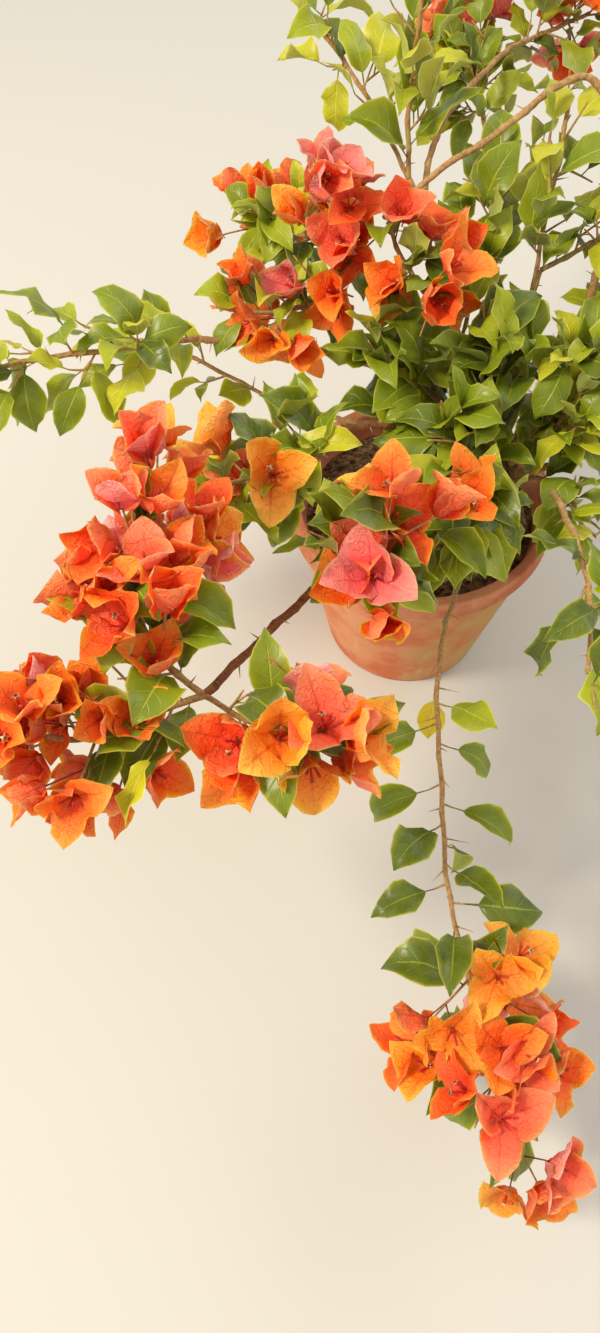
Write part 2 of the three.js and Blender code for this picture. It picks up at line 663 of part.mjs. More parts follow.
// Grows one spray: a stem, twigs set round it by a fixed turn, and on each twig leaves or blossoms.
function spraySolid(name) {
  const spray = { bloomFrom: Infinity, sideLeaves: SIDE_LEAVES, ...SPRAYS[name] };
  const stem = stems[name];
  const random = seededRandom(spray.seed);
  const stemSteps = stepsAlong(stem, STEM_STEP);
  const stemSolid = cutClear(limbSolid(stem, [spray.radius, STEM_TIP_RADIUS], STEM_SIDES, stemSteps));
  const grown = [];
  const keep = (solid) => grown.push({ solid, box: solid.boundingBox() });
  keep(stemSolid);
  const corner = new THREE.Vector3();
  const fits = (piece) => {
    const corners = piece.getMesh().vertProperties;
    for (let i = 0; i < corners.length; i += 3) {
      if (!isInOwnSpace(name, corner.fromArray(corners, i))) return false;
    }
    return !crossesAny(piece, obstacles);
  };
  // A piece grows only where it stays in its own space and, past its root, crosses nothing grown before.
  const tryPiece = (shape, root, direction, turn, size) => {
    const outerRoot = root.clone().addScaledVector(direction, CLEAR_ROOT);
    if (crossesAny(shape(outerRoot, direction, turn, size), grown)) return null;
    if (!fits(shape(root, direction, turn, size, TEST_MARGIN))) return null;
    return shape(root, direction, turn, size);
  };
  const vary = (range) => 1 + range * (2 * random() - 1);
  const roll = () => (random() - 0.5) * LEAF_ROLL;

  for (let i = 0; i < spray.twigs; i += 1) {
    const along = FIRST_TWIG + ((1 - FIRST_TWIG) * (i + 1)) / spray.twigs;
    const [root, tangent] = placeOnRings(stem, stemSteps, along);
    const [side, rise] = squareTo(tangent);
    const blooms = along >= spray.bloomFrom;
    const spread = degrees(i === spray.twigs - 1 ? TIP_SPREAD : TWIG_SPREAD);
    const fullLength = (blooms ? spray.bloomTwig : spray.leafTwig) * vary(TWIG_SIZE_RANGE);
    for (let attempt = 0; attempt < ATTEMPTS; attempt += 1) {
      const length = fullLength * (1 - attempt * ATTEMPT_SHORTER);
      const turn = degrees(TURN_PER_TWIG) * (i + attempt * ATTEMPT_TURN) + spray.seed;
      const direction = tangent.clone().multiplyScalar(Math.cos(spread))
        .addScaledVector(side, Math.cos(turn) * Math.sin(spread))
        .addScaledVector(rise, Math.sin(turn) * Math.sin(spread))
        .addScaledVector(UP, TWIG_LIFT)
        .normalize();
      const twig = blooms
        ? tryPiece(blossomTwigSolid, root, direction, turn, { twig: length, scale: vary(BRACT_SIZE_RANGE) })
        : tryPiece(leafTwigSolid, root, direction, roll(), { twig: length, scale: vary(LEAF_SIZE_RANGE) });
      if (!twig) continue;
      keep(twig);
      const sideLeaves = blooms ? SIDE_LEAVES_IN_BLOOM : spray.sideLeaves;
      for (let leaf = 0; leaf < sideLeaves; leaf += 1) {
        const hand = (i + leaf) % 2 === 0 ? 1 : -1;
        const heading = direction.clone().multiplyScalar(SIDE_LEAF_LEAN)
          .addScaledVector(squareTo(direction)[0], hand)
          .addScaledVector(UP, -LEAF_DROOP * random())
          .normalize();
        const base = root.clone().addScaledVector(direction, length * SIDE_LEAF_PLACES[leaf]);
        const sideLeaf = tryPiece(leafSolid, base, heading, roll(), vary(LEAF_SIZE_RANGE));
        if (sideLeaf) keep(sideLeaf);
      }
      break;
    }
  }
  return fuse(grown.map((piece) => piece.solid));
}

const plant = new THREE.Group();
function addPiece(name, solid, material) {
  const mesh = new THREE.Mesh(geometryFromSolid(solid), material);
  mesh.name = name;
  plant.add(mesh);
}

const terracotta = new THREE.MeshStandardMaterial({ color: 0xb5764a, roughness: 0.9, metalness: 0 });
const earth = new THREE.MeshStandardMaterial({ color: 0x4a3a2c, roughness: 1, metalness: 0 });
const bark = new THREE.MeshStandardMaterial({ color: 0x9a7a54, roughness: 0.9, metalness: 0 });
const stemSkin = new THREE.MeshStandardMaterial({ color: 0x84552f, roughness: 0.75, metalness: 0 });
const leafGreen = new THREE.MeshStandardMaterial({ color: 0x6d8f2e, roughness: 0.5, metalness: 0 });
const blossomOrange = new THREE.MeshStandardMaterial({ color: 0xf0652a, roughness: 0.6, metalness: 0 });

const pot = potSolid();
const soil = soilSolid();
addPiece('pot', pot, terracotta);
addPiece('soil', soil, earth);
addPiece('trunk', trunkSolid(), bark);
addObstacle(pot);
addObstacle(soil);
addObstacle(trunkSolid(GAP));

for (const [name, bough] of Object.entries(BOUGHS)) {
  const curve = curves[name];
  const steps = stepsAlong(curve, BOUGH_STEP);
  addPiece('bough_' + name, cutClear(limbSolid(curve, bough.radius, BOUGH_SIDES, steps)), stemSkin);
  addObstacle(limbSolid(curve, bough.radius, BOUGH_SIDES, steps, GAP));
}

for (const [name, spray] of Object.entries(SPRAYS)) {
  const solid = spraySolid(name);
  const steps = stepsAlong(stems[name], STEM_STEP);
  addPiece('spray_' + name, solid, spray.bloomFrom < MOSTLY_BLOSSOM ? blossomOrange : leafGreen);
  addObstacle(solid);
  addObstacle(limbSolid(stems[name], [spray.radius, STEM_TIP_RADIUS], STEM_SIDES, steps, GAP));
}

export default plant;
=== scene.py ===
# %% [markdown]
# # A potted bougainvillea in orange blossom
# A bougainvillea is a scrambling shrub. A short woody trunk forks into long bare boughs, and these carry
# masses of pointed leaves and of papery coloured bracts in threes, round small tube-shaped flowers.
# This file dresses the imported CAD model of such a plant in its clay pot. The solids stay where they are and
# are hidden, and finer meshes stand in their place, grown by the same rules.

import itertools
import math

import bpy
import numpy as np
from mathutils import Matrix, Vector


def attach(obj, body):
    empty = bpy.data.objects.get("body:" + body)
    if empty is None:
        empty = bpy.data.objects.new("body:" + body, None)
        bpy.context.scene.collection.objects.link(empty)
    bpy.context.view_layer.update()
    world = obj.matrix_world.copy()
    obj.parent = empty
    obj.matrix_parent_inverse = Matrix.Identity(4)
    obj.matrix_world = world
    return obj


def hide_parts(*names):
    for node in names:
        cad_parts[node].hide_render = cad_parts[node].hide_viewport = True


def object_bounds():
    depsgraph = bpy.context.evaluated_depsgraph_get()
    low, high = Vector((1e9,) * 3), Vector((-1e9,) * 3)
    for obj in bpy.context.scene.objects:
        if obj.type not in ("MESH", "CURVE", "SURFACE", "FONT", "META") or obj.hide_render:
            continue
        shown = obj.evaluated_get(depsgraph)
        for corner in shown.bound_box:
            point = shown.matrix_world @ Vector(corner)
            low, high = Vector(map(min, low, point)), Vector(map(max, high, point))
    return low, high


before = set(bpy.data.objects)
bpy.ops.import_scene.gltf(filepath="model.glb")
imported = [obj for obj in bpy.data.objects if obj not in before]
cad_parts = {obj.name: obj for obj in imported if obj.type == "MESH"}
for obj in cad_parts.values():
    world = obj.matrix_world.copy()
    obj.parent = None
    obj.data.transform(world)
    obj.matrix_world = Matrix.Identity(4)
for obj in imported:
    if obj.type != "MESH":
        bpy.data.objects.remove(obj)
cad_box = [list(corner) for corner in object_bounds()]
print("CAD box in metres:", cad_box)

# %% [markdown]
# ## Meshes made of many like shapes
# A plant is thousands of leaves and twigs. Particle systems or instances could scatter them, but they are
# lost when the model leaves Blender. So every leaf is worked out with numpy, all copies of a shape in one
# array, and the copies are joined into one mesh. A piece keeps one list of faces per shape and shifts its
# corner numbers for each copy.

# %% A piece built from batches
class Piece:
    """A mesh under construction. Each batch holds equal closed shapes, as points[copy, corner]."""

    def __init__(self):
        self.points, self.loops, self.sizes, self.finishes, self.edges = [], [], [], [], []
        self.maps = {}
        self.corners = 0

    def add(self, points, faces, finish=0, maps=None, edge=None):
        """Adds copies of a shape. faces holds the corner numbers of all faces in a row, and how many each
        face has. finish numbers a material for each copy and face. maps gives each face corner's place in
        a UV map, and edge says of each corner whether it lies on a sharp rim."""
        copies, corners = points.shape[:2]
        shift = self.corners + corners * np.arange(copies)[:, None]
        self.points.append(points.reshape(-1, 3))
        self.loops.append((faces[0] + shift).ravel())
        self.sizes.append(np.tile(faces[1], copies))
        self.finishes.append(np.broadcast_to(finish, (copies, len(faces[1]))).ravel())
        self.edges.append(np.tile(np.zeros(corners, bool) if edge is None else edge, copies))
        for name, places in (maps or {}).items():
            self.maps.setdefault(name, []).append(places.reshape(-1, 2))
        self.corners += copies * corners

    def make(self, name, finishes, nodes):
        """Turns the batches into one object that stands for the named CAD nodes."""
        mesh = bpy.data.meshes.new(name)
        points, loops, sizes = map(np.concatenate, (self.points, self.loops, self.sizes))
        mesh.vertices.add(len(points))
        mesh.vertices.foreach_set("co", points.astype(np.float32).ravel())
        mesh.loops.add(len(loops))
        mesh.loops.foreach_set("vertex_index", loops.astype(np.int32))
        mesh.polygons.add(len(sizes))
        mesh.polygons.foreach_set("loop_start", (np.cumsum(sizes) - sizes).astype(np.int32))
        mesh.polygons.foreach_set("use_smooth", np.ones(len(sizes), bool))
        mesh.polygons.foreach_set("material_index", np.concatenate(self.finishes).astype(np.int32))
        for map_name, places in self.maps.items():
            layer = mesh.uv_layers.new(name=map_name)
            layer.uv.foreach_set("vector", np.concatenate(places).astype(np.float32).ravel())
        mesh.update(calc_edges=True)
        ends = np.empty(2 * len(mesh.edges), np.int32)
        mesh.edges.foreach_get("vertices", ends)
        rim = np.concatenate(self.edges)[ends.reshape(-1, 2)].all(axis=1)
        mesh.edges.foreach_set("use_edge_sharp", rim)
        for finish in finishes:
            mesh.materials.append(finish)
        made = bpy.data.objects.new(name, mesh)
        bpy.context.scene.collection.objects.link(made)
        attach(made, "root")
        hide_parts(*nodes)
        print(f"{name}: {len(points)} points, {int((sizes - 2).sum())} triangles")


def skin(rings, sides):
    """Faces of a closed tube: four corners between one ring and the next, and a flat face at each end."""
    corner = np.arange(rings * sides).reshape(rings, sides)
    beside = np.roll(corner, -1, axis=1)
    walls = np.stack([corner[:-1], beside[:-1], beside[1:], corner[1:]], axis=-1)
    loops = np.concatenate([walls.ravel(), corner[0, ::-1], corner[-1]])
    return loops, np.array([4] * ((rings - 1) * sides) + [sides, sides])


# %% [markdown]
# ## Directions, paths and tubes
# A limb is a round profile carried along a curve. A curve object with a bevel could do it, but the limbs
# here follow the same curves through their points as in the CAD source, so that they fill its solids, and
# the leaves need places and directions on them. So the curve is worked out here.

# %% Directions
MM = 0.001
UP = np.array([0.0, 0.0, 1.0])
NEARLY_UPRIGHT = 0.05


def unit(vectors):
    """Each vector divided by its own length."""
    return vectors / np.linalg.norm(vectors, axis=-1, keepdims=True)


def square_to(direction):
    """Two directions square to each given one: a level one, up x direction, and direction x level."""
    level = np.cross(UP, direction)
    flat = np.linalg.norm(level, axis=-1, keepdims=True)
    level = np.where(flat < NEARLY_UPRIGHT, [1.0, 0.0, 0.0], level / np.maximum(flat, NEARLY_UPRIGHT))
    return unit(level), unit(np.cross(direction, level))


# %% Curves through points
CURVE_STEPS = 24


def smooth_path(points, count):
    """Evenly spaced places on a smooth curve through the points. Between two points it is a cubic that
    leaves each along a weighted mean of the slopes on both sides, where a slope is the step from point
    to point divided by the square root of its length."""
    points = np.array(points, float)
    wide = np.vstack([2 * points[0] - points[1], points, 2 * points[-1] - points[-2]])
    gap = np.sqrt(np.linalg.norm(np.diff(wide, axis=0), axis=1))[:, None]
    slope = np.diff(wide, axis=0) / gap
    lean = slope[:-1] + slope[1:] - (wide[2:] - wide[:-2]) / (gap[:-1] + gap[1:])
    t = np.linspace(0, 1, CURVE_STEPS)[None, :, None]
    start, end, span = points[:-1, None], points[1:, None], gap[1:-1, None]
    fine = ((2 * t**3 - 3 * t**2 + 1) * start + (3 * t**2 - 2 * t**3) * end
            + (t**3 - 2 * t**2 + t) * span * lean[:-1, None] + (t**3 - t**2) * span * lean[1:, None])
    fine = fine.reshape(-1, 3)
    run = np.concatenate([[0], np.cumsum(np.linalg.norm(np.diff(fine, axis=0), axis=1))])
    even = np.linspace(0, run[-1], count)
    return np.stack([np.interp(even, run, fine[:, axis]) for axis in range(3)], axis=1)


def path_length(path):
    """The sum of the steps from place to place."""
    return np.linalg.norm(np.diff(path, axis=-2), axis=-1).sum(axis=-1)


def point_on(path, share):
    """Place and direction at a share, or many shares, of an evenly spaced path."""
    at = np.asarray(share) * (len(path) - 1)
    steps = np.arange(len(path))
    ahead = unit(np.gradient(path, axis=0))
    place = np.stack([np.interp(at, steps, path[:, axis]) for axis in range(3)], axis=-1)
    way = np.stack([np.interp(at, steps, ahead[:, axis]) for axis in range(3)], axis=-1)
    return place, unit(way)


# %% Tubes round paths
def tubes(paths, radii, sides):
    """Rings of corners round many paths at once. A corner is its path's place, plus the radius times the
    cosine of its turn along one direction square to the path, plus the radius times the sine along
    another."""
    ahead = unit(np.gradient(paths, axis=1))
    across = square_to(unit(paths[:, -1] - paths[:, 0]))[0][:, None]
    across = unit(across - (across * ahead).sum(axis=-1, keepdims=True) * ahead)
    rise = np.cross(ahead, across)
    turn = 2 * math.pi * np.arange(sides) / sides
    ring = across[:, :, None] * np.cos(turn)[:, None] + rise[:, :, None] * np.sin(turn)[:, None]
    return paths[:, :, None] + np.broadcast_to(radii, paths.shape[:2])[..., None, None] * ring


# %% Soft noise
NOISE_WAVES = 14
WAVE_SIZES = (0.6, 1.6)


def soft_noise(places, size, seed):
    """Smooth random heights around 0, mostly from -1 to 1: a sum of sine waves of about the given length
    that run in random directions."""
    random = np.random.default_rng(seed)
    total = np.zeros(places.shape[:-1])
    for _ in range(NOISE_WAVES):
        wave = unit(random.normal(size=3)) * 2 * math.pi / (size * random.uniform(*WAVE_SIZES))
        total += np.sin(places @ wave + random.uniform(0, 2 * math.pi))
    return total * math.sqrt(1 / NOISE_WAVES)


# %% [markdown]
# ## Finishes
# Each finish is one Principled shader. Where a colour changes over a surface, the change is written as
# arithmetic on values such as a noise or a place, and each sum adds its node.

# %% Values that change over a surface
class Number:
    """A value that changes over a surface, held as a node's socket. A sum of two adds a Math node."""

    def __init__(self, finish, socket):
        self.finish, self.socket = finish, socket

    def sum(self, operation, *terms):
        made = self.finish.node("ShaderNodeMath", {"operation": operation}, terms)
        return Number(self.finish, made.outputs[0])

    def __add__(self, other):
        return self.sum("ADD", self, other)

    def __sub__(self, other):
        return self.sum("SUBTRACT", self, other)

    def __rsub__(self, other):
        return self.sum("SUBTRACT", other, self)

    def __mul__(self, other):
        return self.sum("MULTIPLY", self, other)

    def __abs__(self):
        return self.sum("ABSOLUTE", self)

    __radd__, __rmul__ = __add__, __mul__

    def fold(self, height):
        """Climbs to a height and back again, over and over, as a path folded like paper does."""
        return self.sum("PINGPONG", self, height)

    def between(self, low, high):
        """0 below low, 1 above high, and a smooth rise between. With low above high it falls."""
        made = self.finish.node(
            "ShaderNodeMapRange", {"interpolation_type": "SMOOTHSTEP"}, (self, low, high))
        return Number(self.finish, made.outputs[0])


# %% A finish
GLOW_SCALE = 1.5 * MM
MIX_SOCKETS = {"factor": 0, "low": 6, "high": 7, "result": 2}


def colour(code):
    """The linear red, green, blue and alpha of a hexadecimal screen colour."""
    screen = [int(code[i:i + 2], 16) / 255 for i in (1, 3, 5)]
    return (*[s / 12.92 if s <= 0.04045 else ((s + 0.055) / 1.055) ** 2.4 for s in screen], 1.0)


class Finish:
    """One material with a Principled shader. A glow above 0 lets light soak through thin parts, each of
    the three colours to its own depth."""

    def __init__(self, name, roughness, glow=0.0, glow_depth=(1.0, 1.0, 1.0)):
        self.material = bpy.data.materials.new(name)
        self.material.use_nodes = True
        self.nodes, self.links = self.material.node_tree.nodes, self.material.node_tree.links
        self.shader = self.nodes["Principled BSDF"]
        self.shader.inputs["Roughness"].default_value = roughness
        self.shader.inputs["Subsurface Weight"].default_value = glow
        self.shader.inputs["Subsurface Radius"].default_value = glow_depth
        self.shader.inputs["Subsurface Scale"].default_value = GLOW_SCALE

    def put(self, socket, value):
        """Links a value that changes to a socket, or sets a plain one on it. A text is a colour's code."""
        if isinstance(value, str):
            value = colour(value)
        if isinstance(value, Number):
            value = value.socket
        if isinstance(value, bpy.types.NodeSocket):
            self.links.new(value, socket)
        else:
            socket.default_value = value

    def node(self, kind, settings, values):
        """Adds a node: its settings first, then the value or link of each socket, by number or name."""
        made = self.nodes.new(kind)
        for name, value in settings.items():
            setattr(made, name, value)
        for key, value in values.items() if isinstance(values, dict) else enumerate(values):
            self.put(made.inputs[key], value)
        return made

    def noise(self, size, detail=3.0, roughness=0.55, stretch=(1, 1, 1)):
        """A cloudy pattern from 0 to 1, fixed to the object, with clouds of about the size in metres."""
        place = self.node("ShaderNodeTexCoord", {}, ()).outputs["Object"]
        turned = self.node("ShaderNodeMapping", {}, {"Vector": place, "Scale": stretch}).outputs[0]
        made = self.node("ShaderNodeTexNoise", {}, {
            "Vector": turned, "Scale": 1 / size, "Detail": detail, "Roughness": roughness})
        return Number(self, made.outputs[0])

    def place(self, source):
        """The three parts of a place: a UV map's if it is named, and otherwise the object's own."""
        if source == "object":
            found = self.node("ShaderNodeTexCoord", {}, ()).outputs["Object"]
        else:
            found = self.node("ShaderNodeUVMap", {"uv_map": source}, ()).outputs[0]
        parts = self.node("ShaderNodeSeparateXYZ", {}, (found,)).outputs
        return [Number(self, part) for part in parts]

    def blend(self, low, high, share):
        """A colour that goes from low to high as the share goes from 0 to 1."""
        made = self.node("ShaderNodeMix", {"data_type": "RGBA"}, {
            MIX_SOCKETS["factor"]: share, MIX_SOCKETS["low"]: low, MIX_SOCKETS["high"]: high})
        return made.outputs[MIX_SOCKETS["result"]]

    def paint(self, tone):
        """Gives the surface its colour and returns the finished material."""
        self.put(self.shader.inputs["Base Color"], tone)
        return self.material

    def bump(self, height, depth, strength=1.0):
        """Gives the surface relief: the height's 0 to 1 stands for the depth in metres."""
        made = self.node("ShaderNodeBump", {}, {
            "Height": height, "Distance": depth, "Strength": strength})
        self.put(self.shader.inputs["Normal"], made.outputs[0])


# %% [markdown]
# ## The clay pot
# A thrown flower pot is a turned shape: a tapered wall with a thick band round its rim. It could be a
# profile curve with a Screw modifier. Here the profile's corners are rounded, filled in evenly and turned
# round the Z axis as one array, with faint rings left by the potter's fingers.

# %% The pot's outline
POT_HEIGHT = 245 * MM
POT_FOOT_RADIUS = 100 * MM
POT_RIM_RADIUS = 150 * MM
POT_NECK_RADIUS = 141 * MM
POT_WALL = 12 * MM
POT_FLOOR = 14 * MM
POT_FLOOR_RADIUS = 90 * MM
RIM_BAND_HEIGHT = 28 * MM
POT_ROUNDING = 3.5 * MM
POT_SIDES = 144
OUTLINE_STEP = 2.5 * MM
POLE = 1 * MM


def rounded(corners, radius, steps=5):
    """An outline with its inner corners rounded: near each corner a quadratic curve runs from one radius
    before it to one radius after it, pulled by the corner."""
    corners = np.array(corners)
    middle = corners[1:-1, None]
    before = middle + radius * unit(corners[:-2] - corners[1:-1])[:, None]
    after = middle + radius * unit(corners[2:] - corners[1:-1])[:, None]
    t = np.linspace(0, 1, steps)[None, :, None]
    bends = (1 - t)**2 * before + 2 * t * (1 - t) * middle + t**2 * after
    return np.vstack([corners[:1], bends.reshape(-1, 2), corners[-1:]])


def filled_in(outline, step):
    """The outline with extra places so that none of its runs is longer than the step."""
    run = np.concatenate([[0], np.cumsum(np.linalg.norm(np.diff(outline, axis=0), axis=1))])
    even = np.linspace(0, run[-1], int(run[-1] / step))
    places = np.union1d(run, even)
    return np.stack([np.interp(places, run, outline[:, axis]) for axis in range(2)], axis=1)


def turned(outline, sides):
    """Rings round the Z axis: radius times cosine, radius times sine, and the height."""
    turn = 2 * math.pi * np.arange(sides) / sides
    radius, height = outline[:, :1], outline[:, 1:]
    return np.stack([radius * np.cos(turn), radius * np.sin(turn), np.tile(height, sides)], axis=-1)


band_foot = POT_HEIGHT - RIM_BAND_HEIGHT
mouth_radius = POT_RIM_RADIUS - POT_WALL
pot_outline = filled_in(rounded([
    (POLE, 0), (POT_FOOT_RADIUS, 0), (POT_NECK_RADIUS, band_foot - POT_ROUNDING),
    (POT_RIM_RADIUS, band_foot), (POT_RIM_RADIUS, POT_HEIGHT), (mouth_radius, POT_HEIGHT),
    (POT_FLOOR_RADIUS, POT_FLOOR), (POLE, POT_FLOOR),
], POT_ROUNDING), OUTLINE_STEP)
print("pot outline:", len(pot_outline), "places")

# %% The pot's surface
FINGER_RING = 7 * MM
FINGER_DEPTH = 0.22 * MM
FINGERS_FROM = 20 * MM
FINGERS_STOP = 10 * MM
WOBBLE = 0.8 * MM
WOBBLE_INSET = 1 * MM

pot_rings = turned(pot_outline, POT_SIDES)
level_at = pot_rings[..., 2]
on_wall = np.clip((level_at - FINGERS_FROM) / FINGERS_FROM, 0, 1) * (level_at < band_foot - FINGERS_STOP)
fingers = np.sin(2 * math.pi * level_at / FINGER_RING + soft_noise(pot_rings, 200 * MM, seed=3))
wobble = WOBBLE * soft_noise(pot_rings * [1, 1, 0.2], 300 * MM, seed=5) - WOBBLE_INSET
out = unit(pot_rings * [1, 1, 0])
beyond_floor = np.linalg.norm(pot_rings[..., :2], axis=-1, keepdims=True) > POT_FLOOR_RADIUS
pot_rings = pot_rings + out * (fingers * FINGER_DEPTH * on_wall + wobble)[..., None] * beyond_floor
print("pot surface:", pot_rings.shape[0], "rings of", POT_SIDES, "corners")

# %% [markdown]
# The clay is fired orange-pink, redder round the rim. The wall has weathered: a yellow-green film of algae
# spreads over the side away from the sun, and water that seeped through has left pale streaks of lime.

# %% Clay finish
DRAWN_OUT = (1, 1, 0.25)

clay = Finish("clay", 0.9)
right, _, height = clay.place("object")
patches = clay.noise(60 * MM, 5, 0.6)
streaks = clay.noise(30 * MM, 4, 0.6, DRAWN_OUT)
grain = clay.noise(1.6 * MM, 3)
body = clay.blend("#cb6e44", "#dc9468", patches.between(0.35, 0.65))
film = (right * 5 + patches * 1.6 + streaks * 0.6).between(0.75, 1.9)
body = clay.blend(body, "#a8944c", film * 0.85)
body = clay.blend(body, "#e2c294", streaks.between(0.58, 0.78) * 0.35)
rim = clay.blend("#b3623f", "#cf8860", patches.between(0.38, 0.62))
rim = clay.blend(rim, "#dcb48c", streaks.between(0.6, 0.78) * 0.4)
clay_colour = clay.blend(body, rim, height.between(band_foot - 6 * MM, band_foot + 4 * MM))
clay_colour = clay.blend(clay_colour, "#7a4a30", grain.between(0.6, 0.8) * 0.3)
clay_finish = clay.paint(clay_colour)
clay.bump(grain * 0.5 + patches, 0.8 * MM, 0.7)

pot = Piece()
pot.add(pot_rings.reshape(1, -1, 3), skin(len(pot_outline), POT_SIDES))
pot.make("pot_clay", [clay_finish], ["pot"])

# %% [markdown]
# ## The soil
# Potting soil is a lumpy surface with loose crumbs on it. A displaced plane would do for the surface, but
# the crumbs catch the light one by one, so they are small rough balls of 20 faces set into it.

# %% Soil surface
SOIL_TOP = 217 * MM
SOIL_SUNK = 3 * MM
SOIL_DISH = 4 * MM
SOIL_LUMPS = 2.2 * MM
SMALL_LUMPS = 0.45
SOIL_RINGS = 60
SOIL_GAP = 1.5 * MM
SOIL_FOOT_GAP = 1 * MM
SOIL_FOOT_INSET = 3 * MM


def soil_height(places):
    """The soil's height at a place: level, sunk a little towards the wall, with lumps of two sizes."""
    out = np.linalg.norm(places[..., :2], axis=-1) / mouth_radius
    flat = places * [1, 1, 0]
    lumps = soft_noise(flat, 50 * MM, seed=8) + SMALL_LUMPS * soft_noise(flat, 12 * MM, seed=9)
    return SOIL_TOP - SOIL_SUNK + SOIL_LUMPS * lumps - SOIL_DISH * out**4


def inner_radius(height):
    """The radius of the pot's inner wall at a height: it widens evenly from the floor to the mouth."""
    share = (height - POT_FLOOR) / (POT_HEIGHT - POT_FLOOR)
    return POT_FLOOR_RADIUS + share * (mouth_radius - POT_FLOOR_RADIUS)


soil_radius = inner_radius(SOIL_TOP) - SOIL_GAP
soil_foot = POT_FLOOR + SOIL_FOOT_GAP
soil_outline = np.array(
    [(POLE, soil_foot), (POT_FLOOR_RADIUS - SOIL_FOOT_INSET, soil_foot)]
    + [(soil_radius * share, SOIL_TOP) for share in np.linspace(1, POLE / soil_radius, SOIL_RINGS)])
soil_rings = turned(soil_outline, POT_SIDES)
soil_rings[2:, :, 2] = soil_height(soil_rings[2:])
print("soil surface:", len(soil_outline), "rings, radius", round(soil_radius / MM), "mm")

# %% Crumbs
# The 12 corners of an icosahedron are the three golden rectangles' corners; its 20 faces are the triples
# of corners that lie nearest one another.
NEIGHBOUR = 1.2
CRUMBS = 1500
CRUMB_RADIUS = (1.6 * MM, 5 * MM)
CRUMB_SHRUNK = (0.5, 1)
CRUMB_FROM_WALL = 5 * MM
CRUMB_RAISED = 0.3
CRUMB_ROUGHNESS = (0.65, 1.2)
CRUMB_SQUASH = (0.6, 1.1)
CRUMB_SEED = 41

golden = (1 + math.sqrt(5)) / 2
ball = np.array([(0, a, b * golden) for a in (-1, 1) for b in (-1, 1)])
ball = unit(np.vstack([np.roll(ball, k, axis=1) for k in range(3)]))
near = np.linalg.norm(ball[:, None] - ball[None], axis=-1) < NEIGHBOUR
ball_faces = [
    (i, j, k) if np.dot(np.cross(ball[j] - ball[i], ball[k] - ball[i]), ball[i]) > 0 else (i, k, j)
    for i, j, k in itertools.combinations(range(len(ball)), 3)
    if near[i, j] and near[j, k] and near[i, k]]
ball_skin = np.array(ball_faces).ravel(), np.full(len(ball_faces), 3)

random = np.random.default_rng(CRUMB_SEED)
crumb_size = random.uniform(*CRUMB_RADIUS, CRUMBS) * random.uniform(*CRUMB_SHRUNK, CRUMBS)
crumb_turn = random.uniform(0, 2 * math.pi, CRUMBS)
crumb_reach = (soil_radius - CRUMB_FROM_WALL) * np.sqrt(random.uniform(0, 1, CRUMBS))
crumb_place = np.stack(
    [crumb_reach * np.cos(crumb_turn), crumb_reach * np.sin(crumb_turn), np.zeros(CRUMBS)], axis=1)
crumb_place[:, 2] = soil_height(crumb_place) + CRUMB_RAISED * crumb_size
crumb_shape = (ball[None] * random.uniform(*CRUMB_ROUGHNESS, (CRUMBS, len(ball), 1))
               * random.uniform(*CRUMB_SQUASH, (CRUMBS, 1, 3)))
crumb_points = crumb_place[:, None] + crumb_size[:, None, None] * crumb_shape

earth = Finish("soil", 1.0)
dry = earth.noise(7 * MM, 4, 0.65).between(0.36, 0.68)
soil_finish = earth.paint(earth.blend("#3b2615", "#97744f", dry))
earth.bump(earth.noise(1.5 * MM, 4), 1.2 * MM)

soil = Piece()
soil.add(soil_rings.reshape(1, -1, 3), skin(len(soil_outline), POT_SIDES))
soil.make("soil_bed", [soil_finish], ["soil"])
crumbs = Piece()
crumbs.add(crumb_points, ball_skin)
crumbs.make("soil_crumbs", [soil_finish], ["soil"])

# %% [markdown]
# ## Where everything grows
# A bush's habit lies in where its limbs set out and which way they arch. Points could be read from the
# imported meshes, but the limbs' own sizes give smooth curves. So the next tables repeat the CAD source's
# boughs and sprays, in millimetres. A bough springs from another limb and bends through points. A spray is
# a mass of leaves and blossom on its own stem, which grows on from a bough. Its reach is how far its space
# extends from that stem, and its twigs end in blossom from the share bloom_from of the stem onwards.

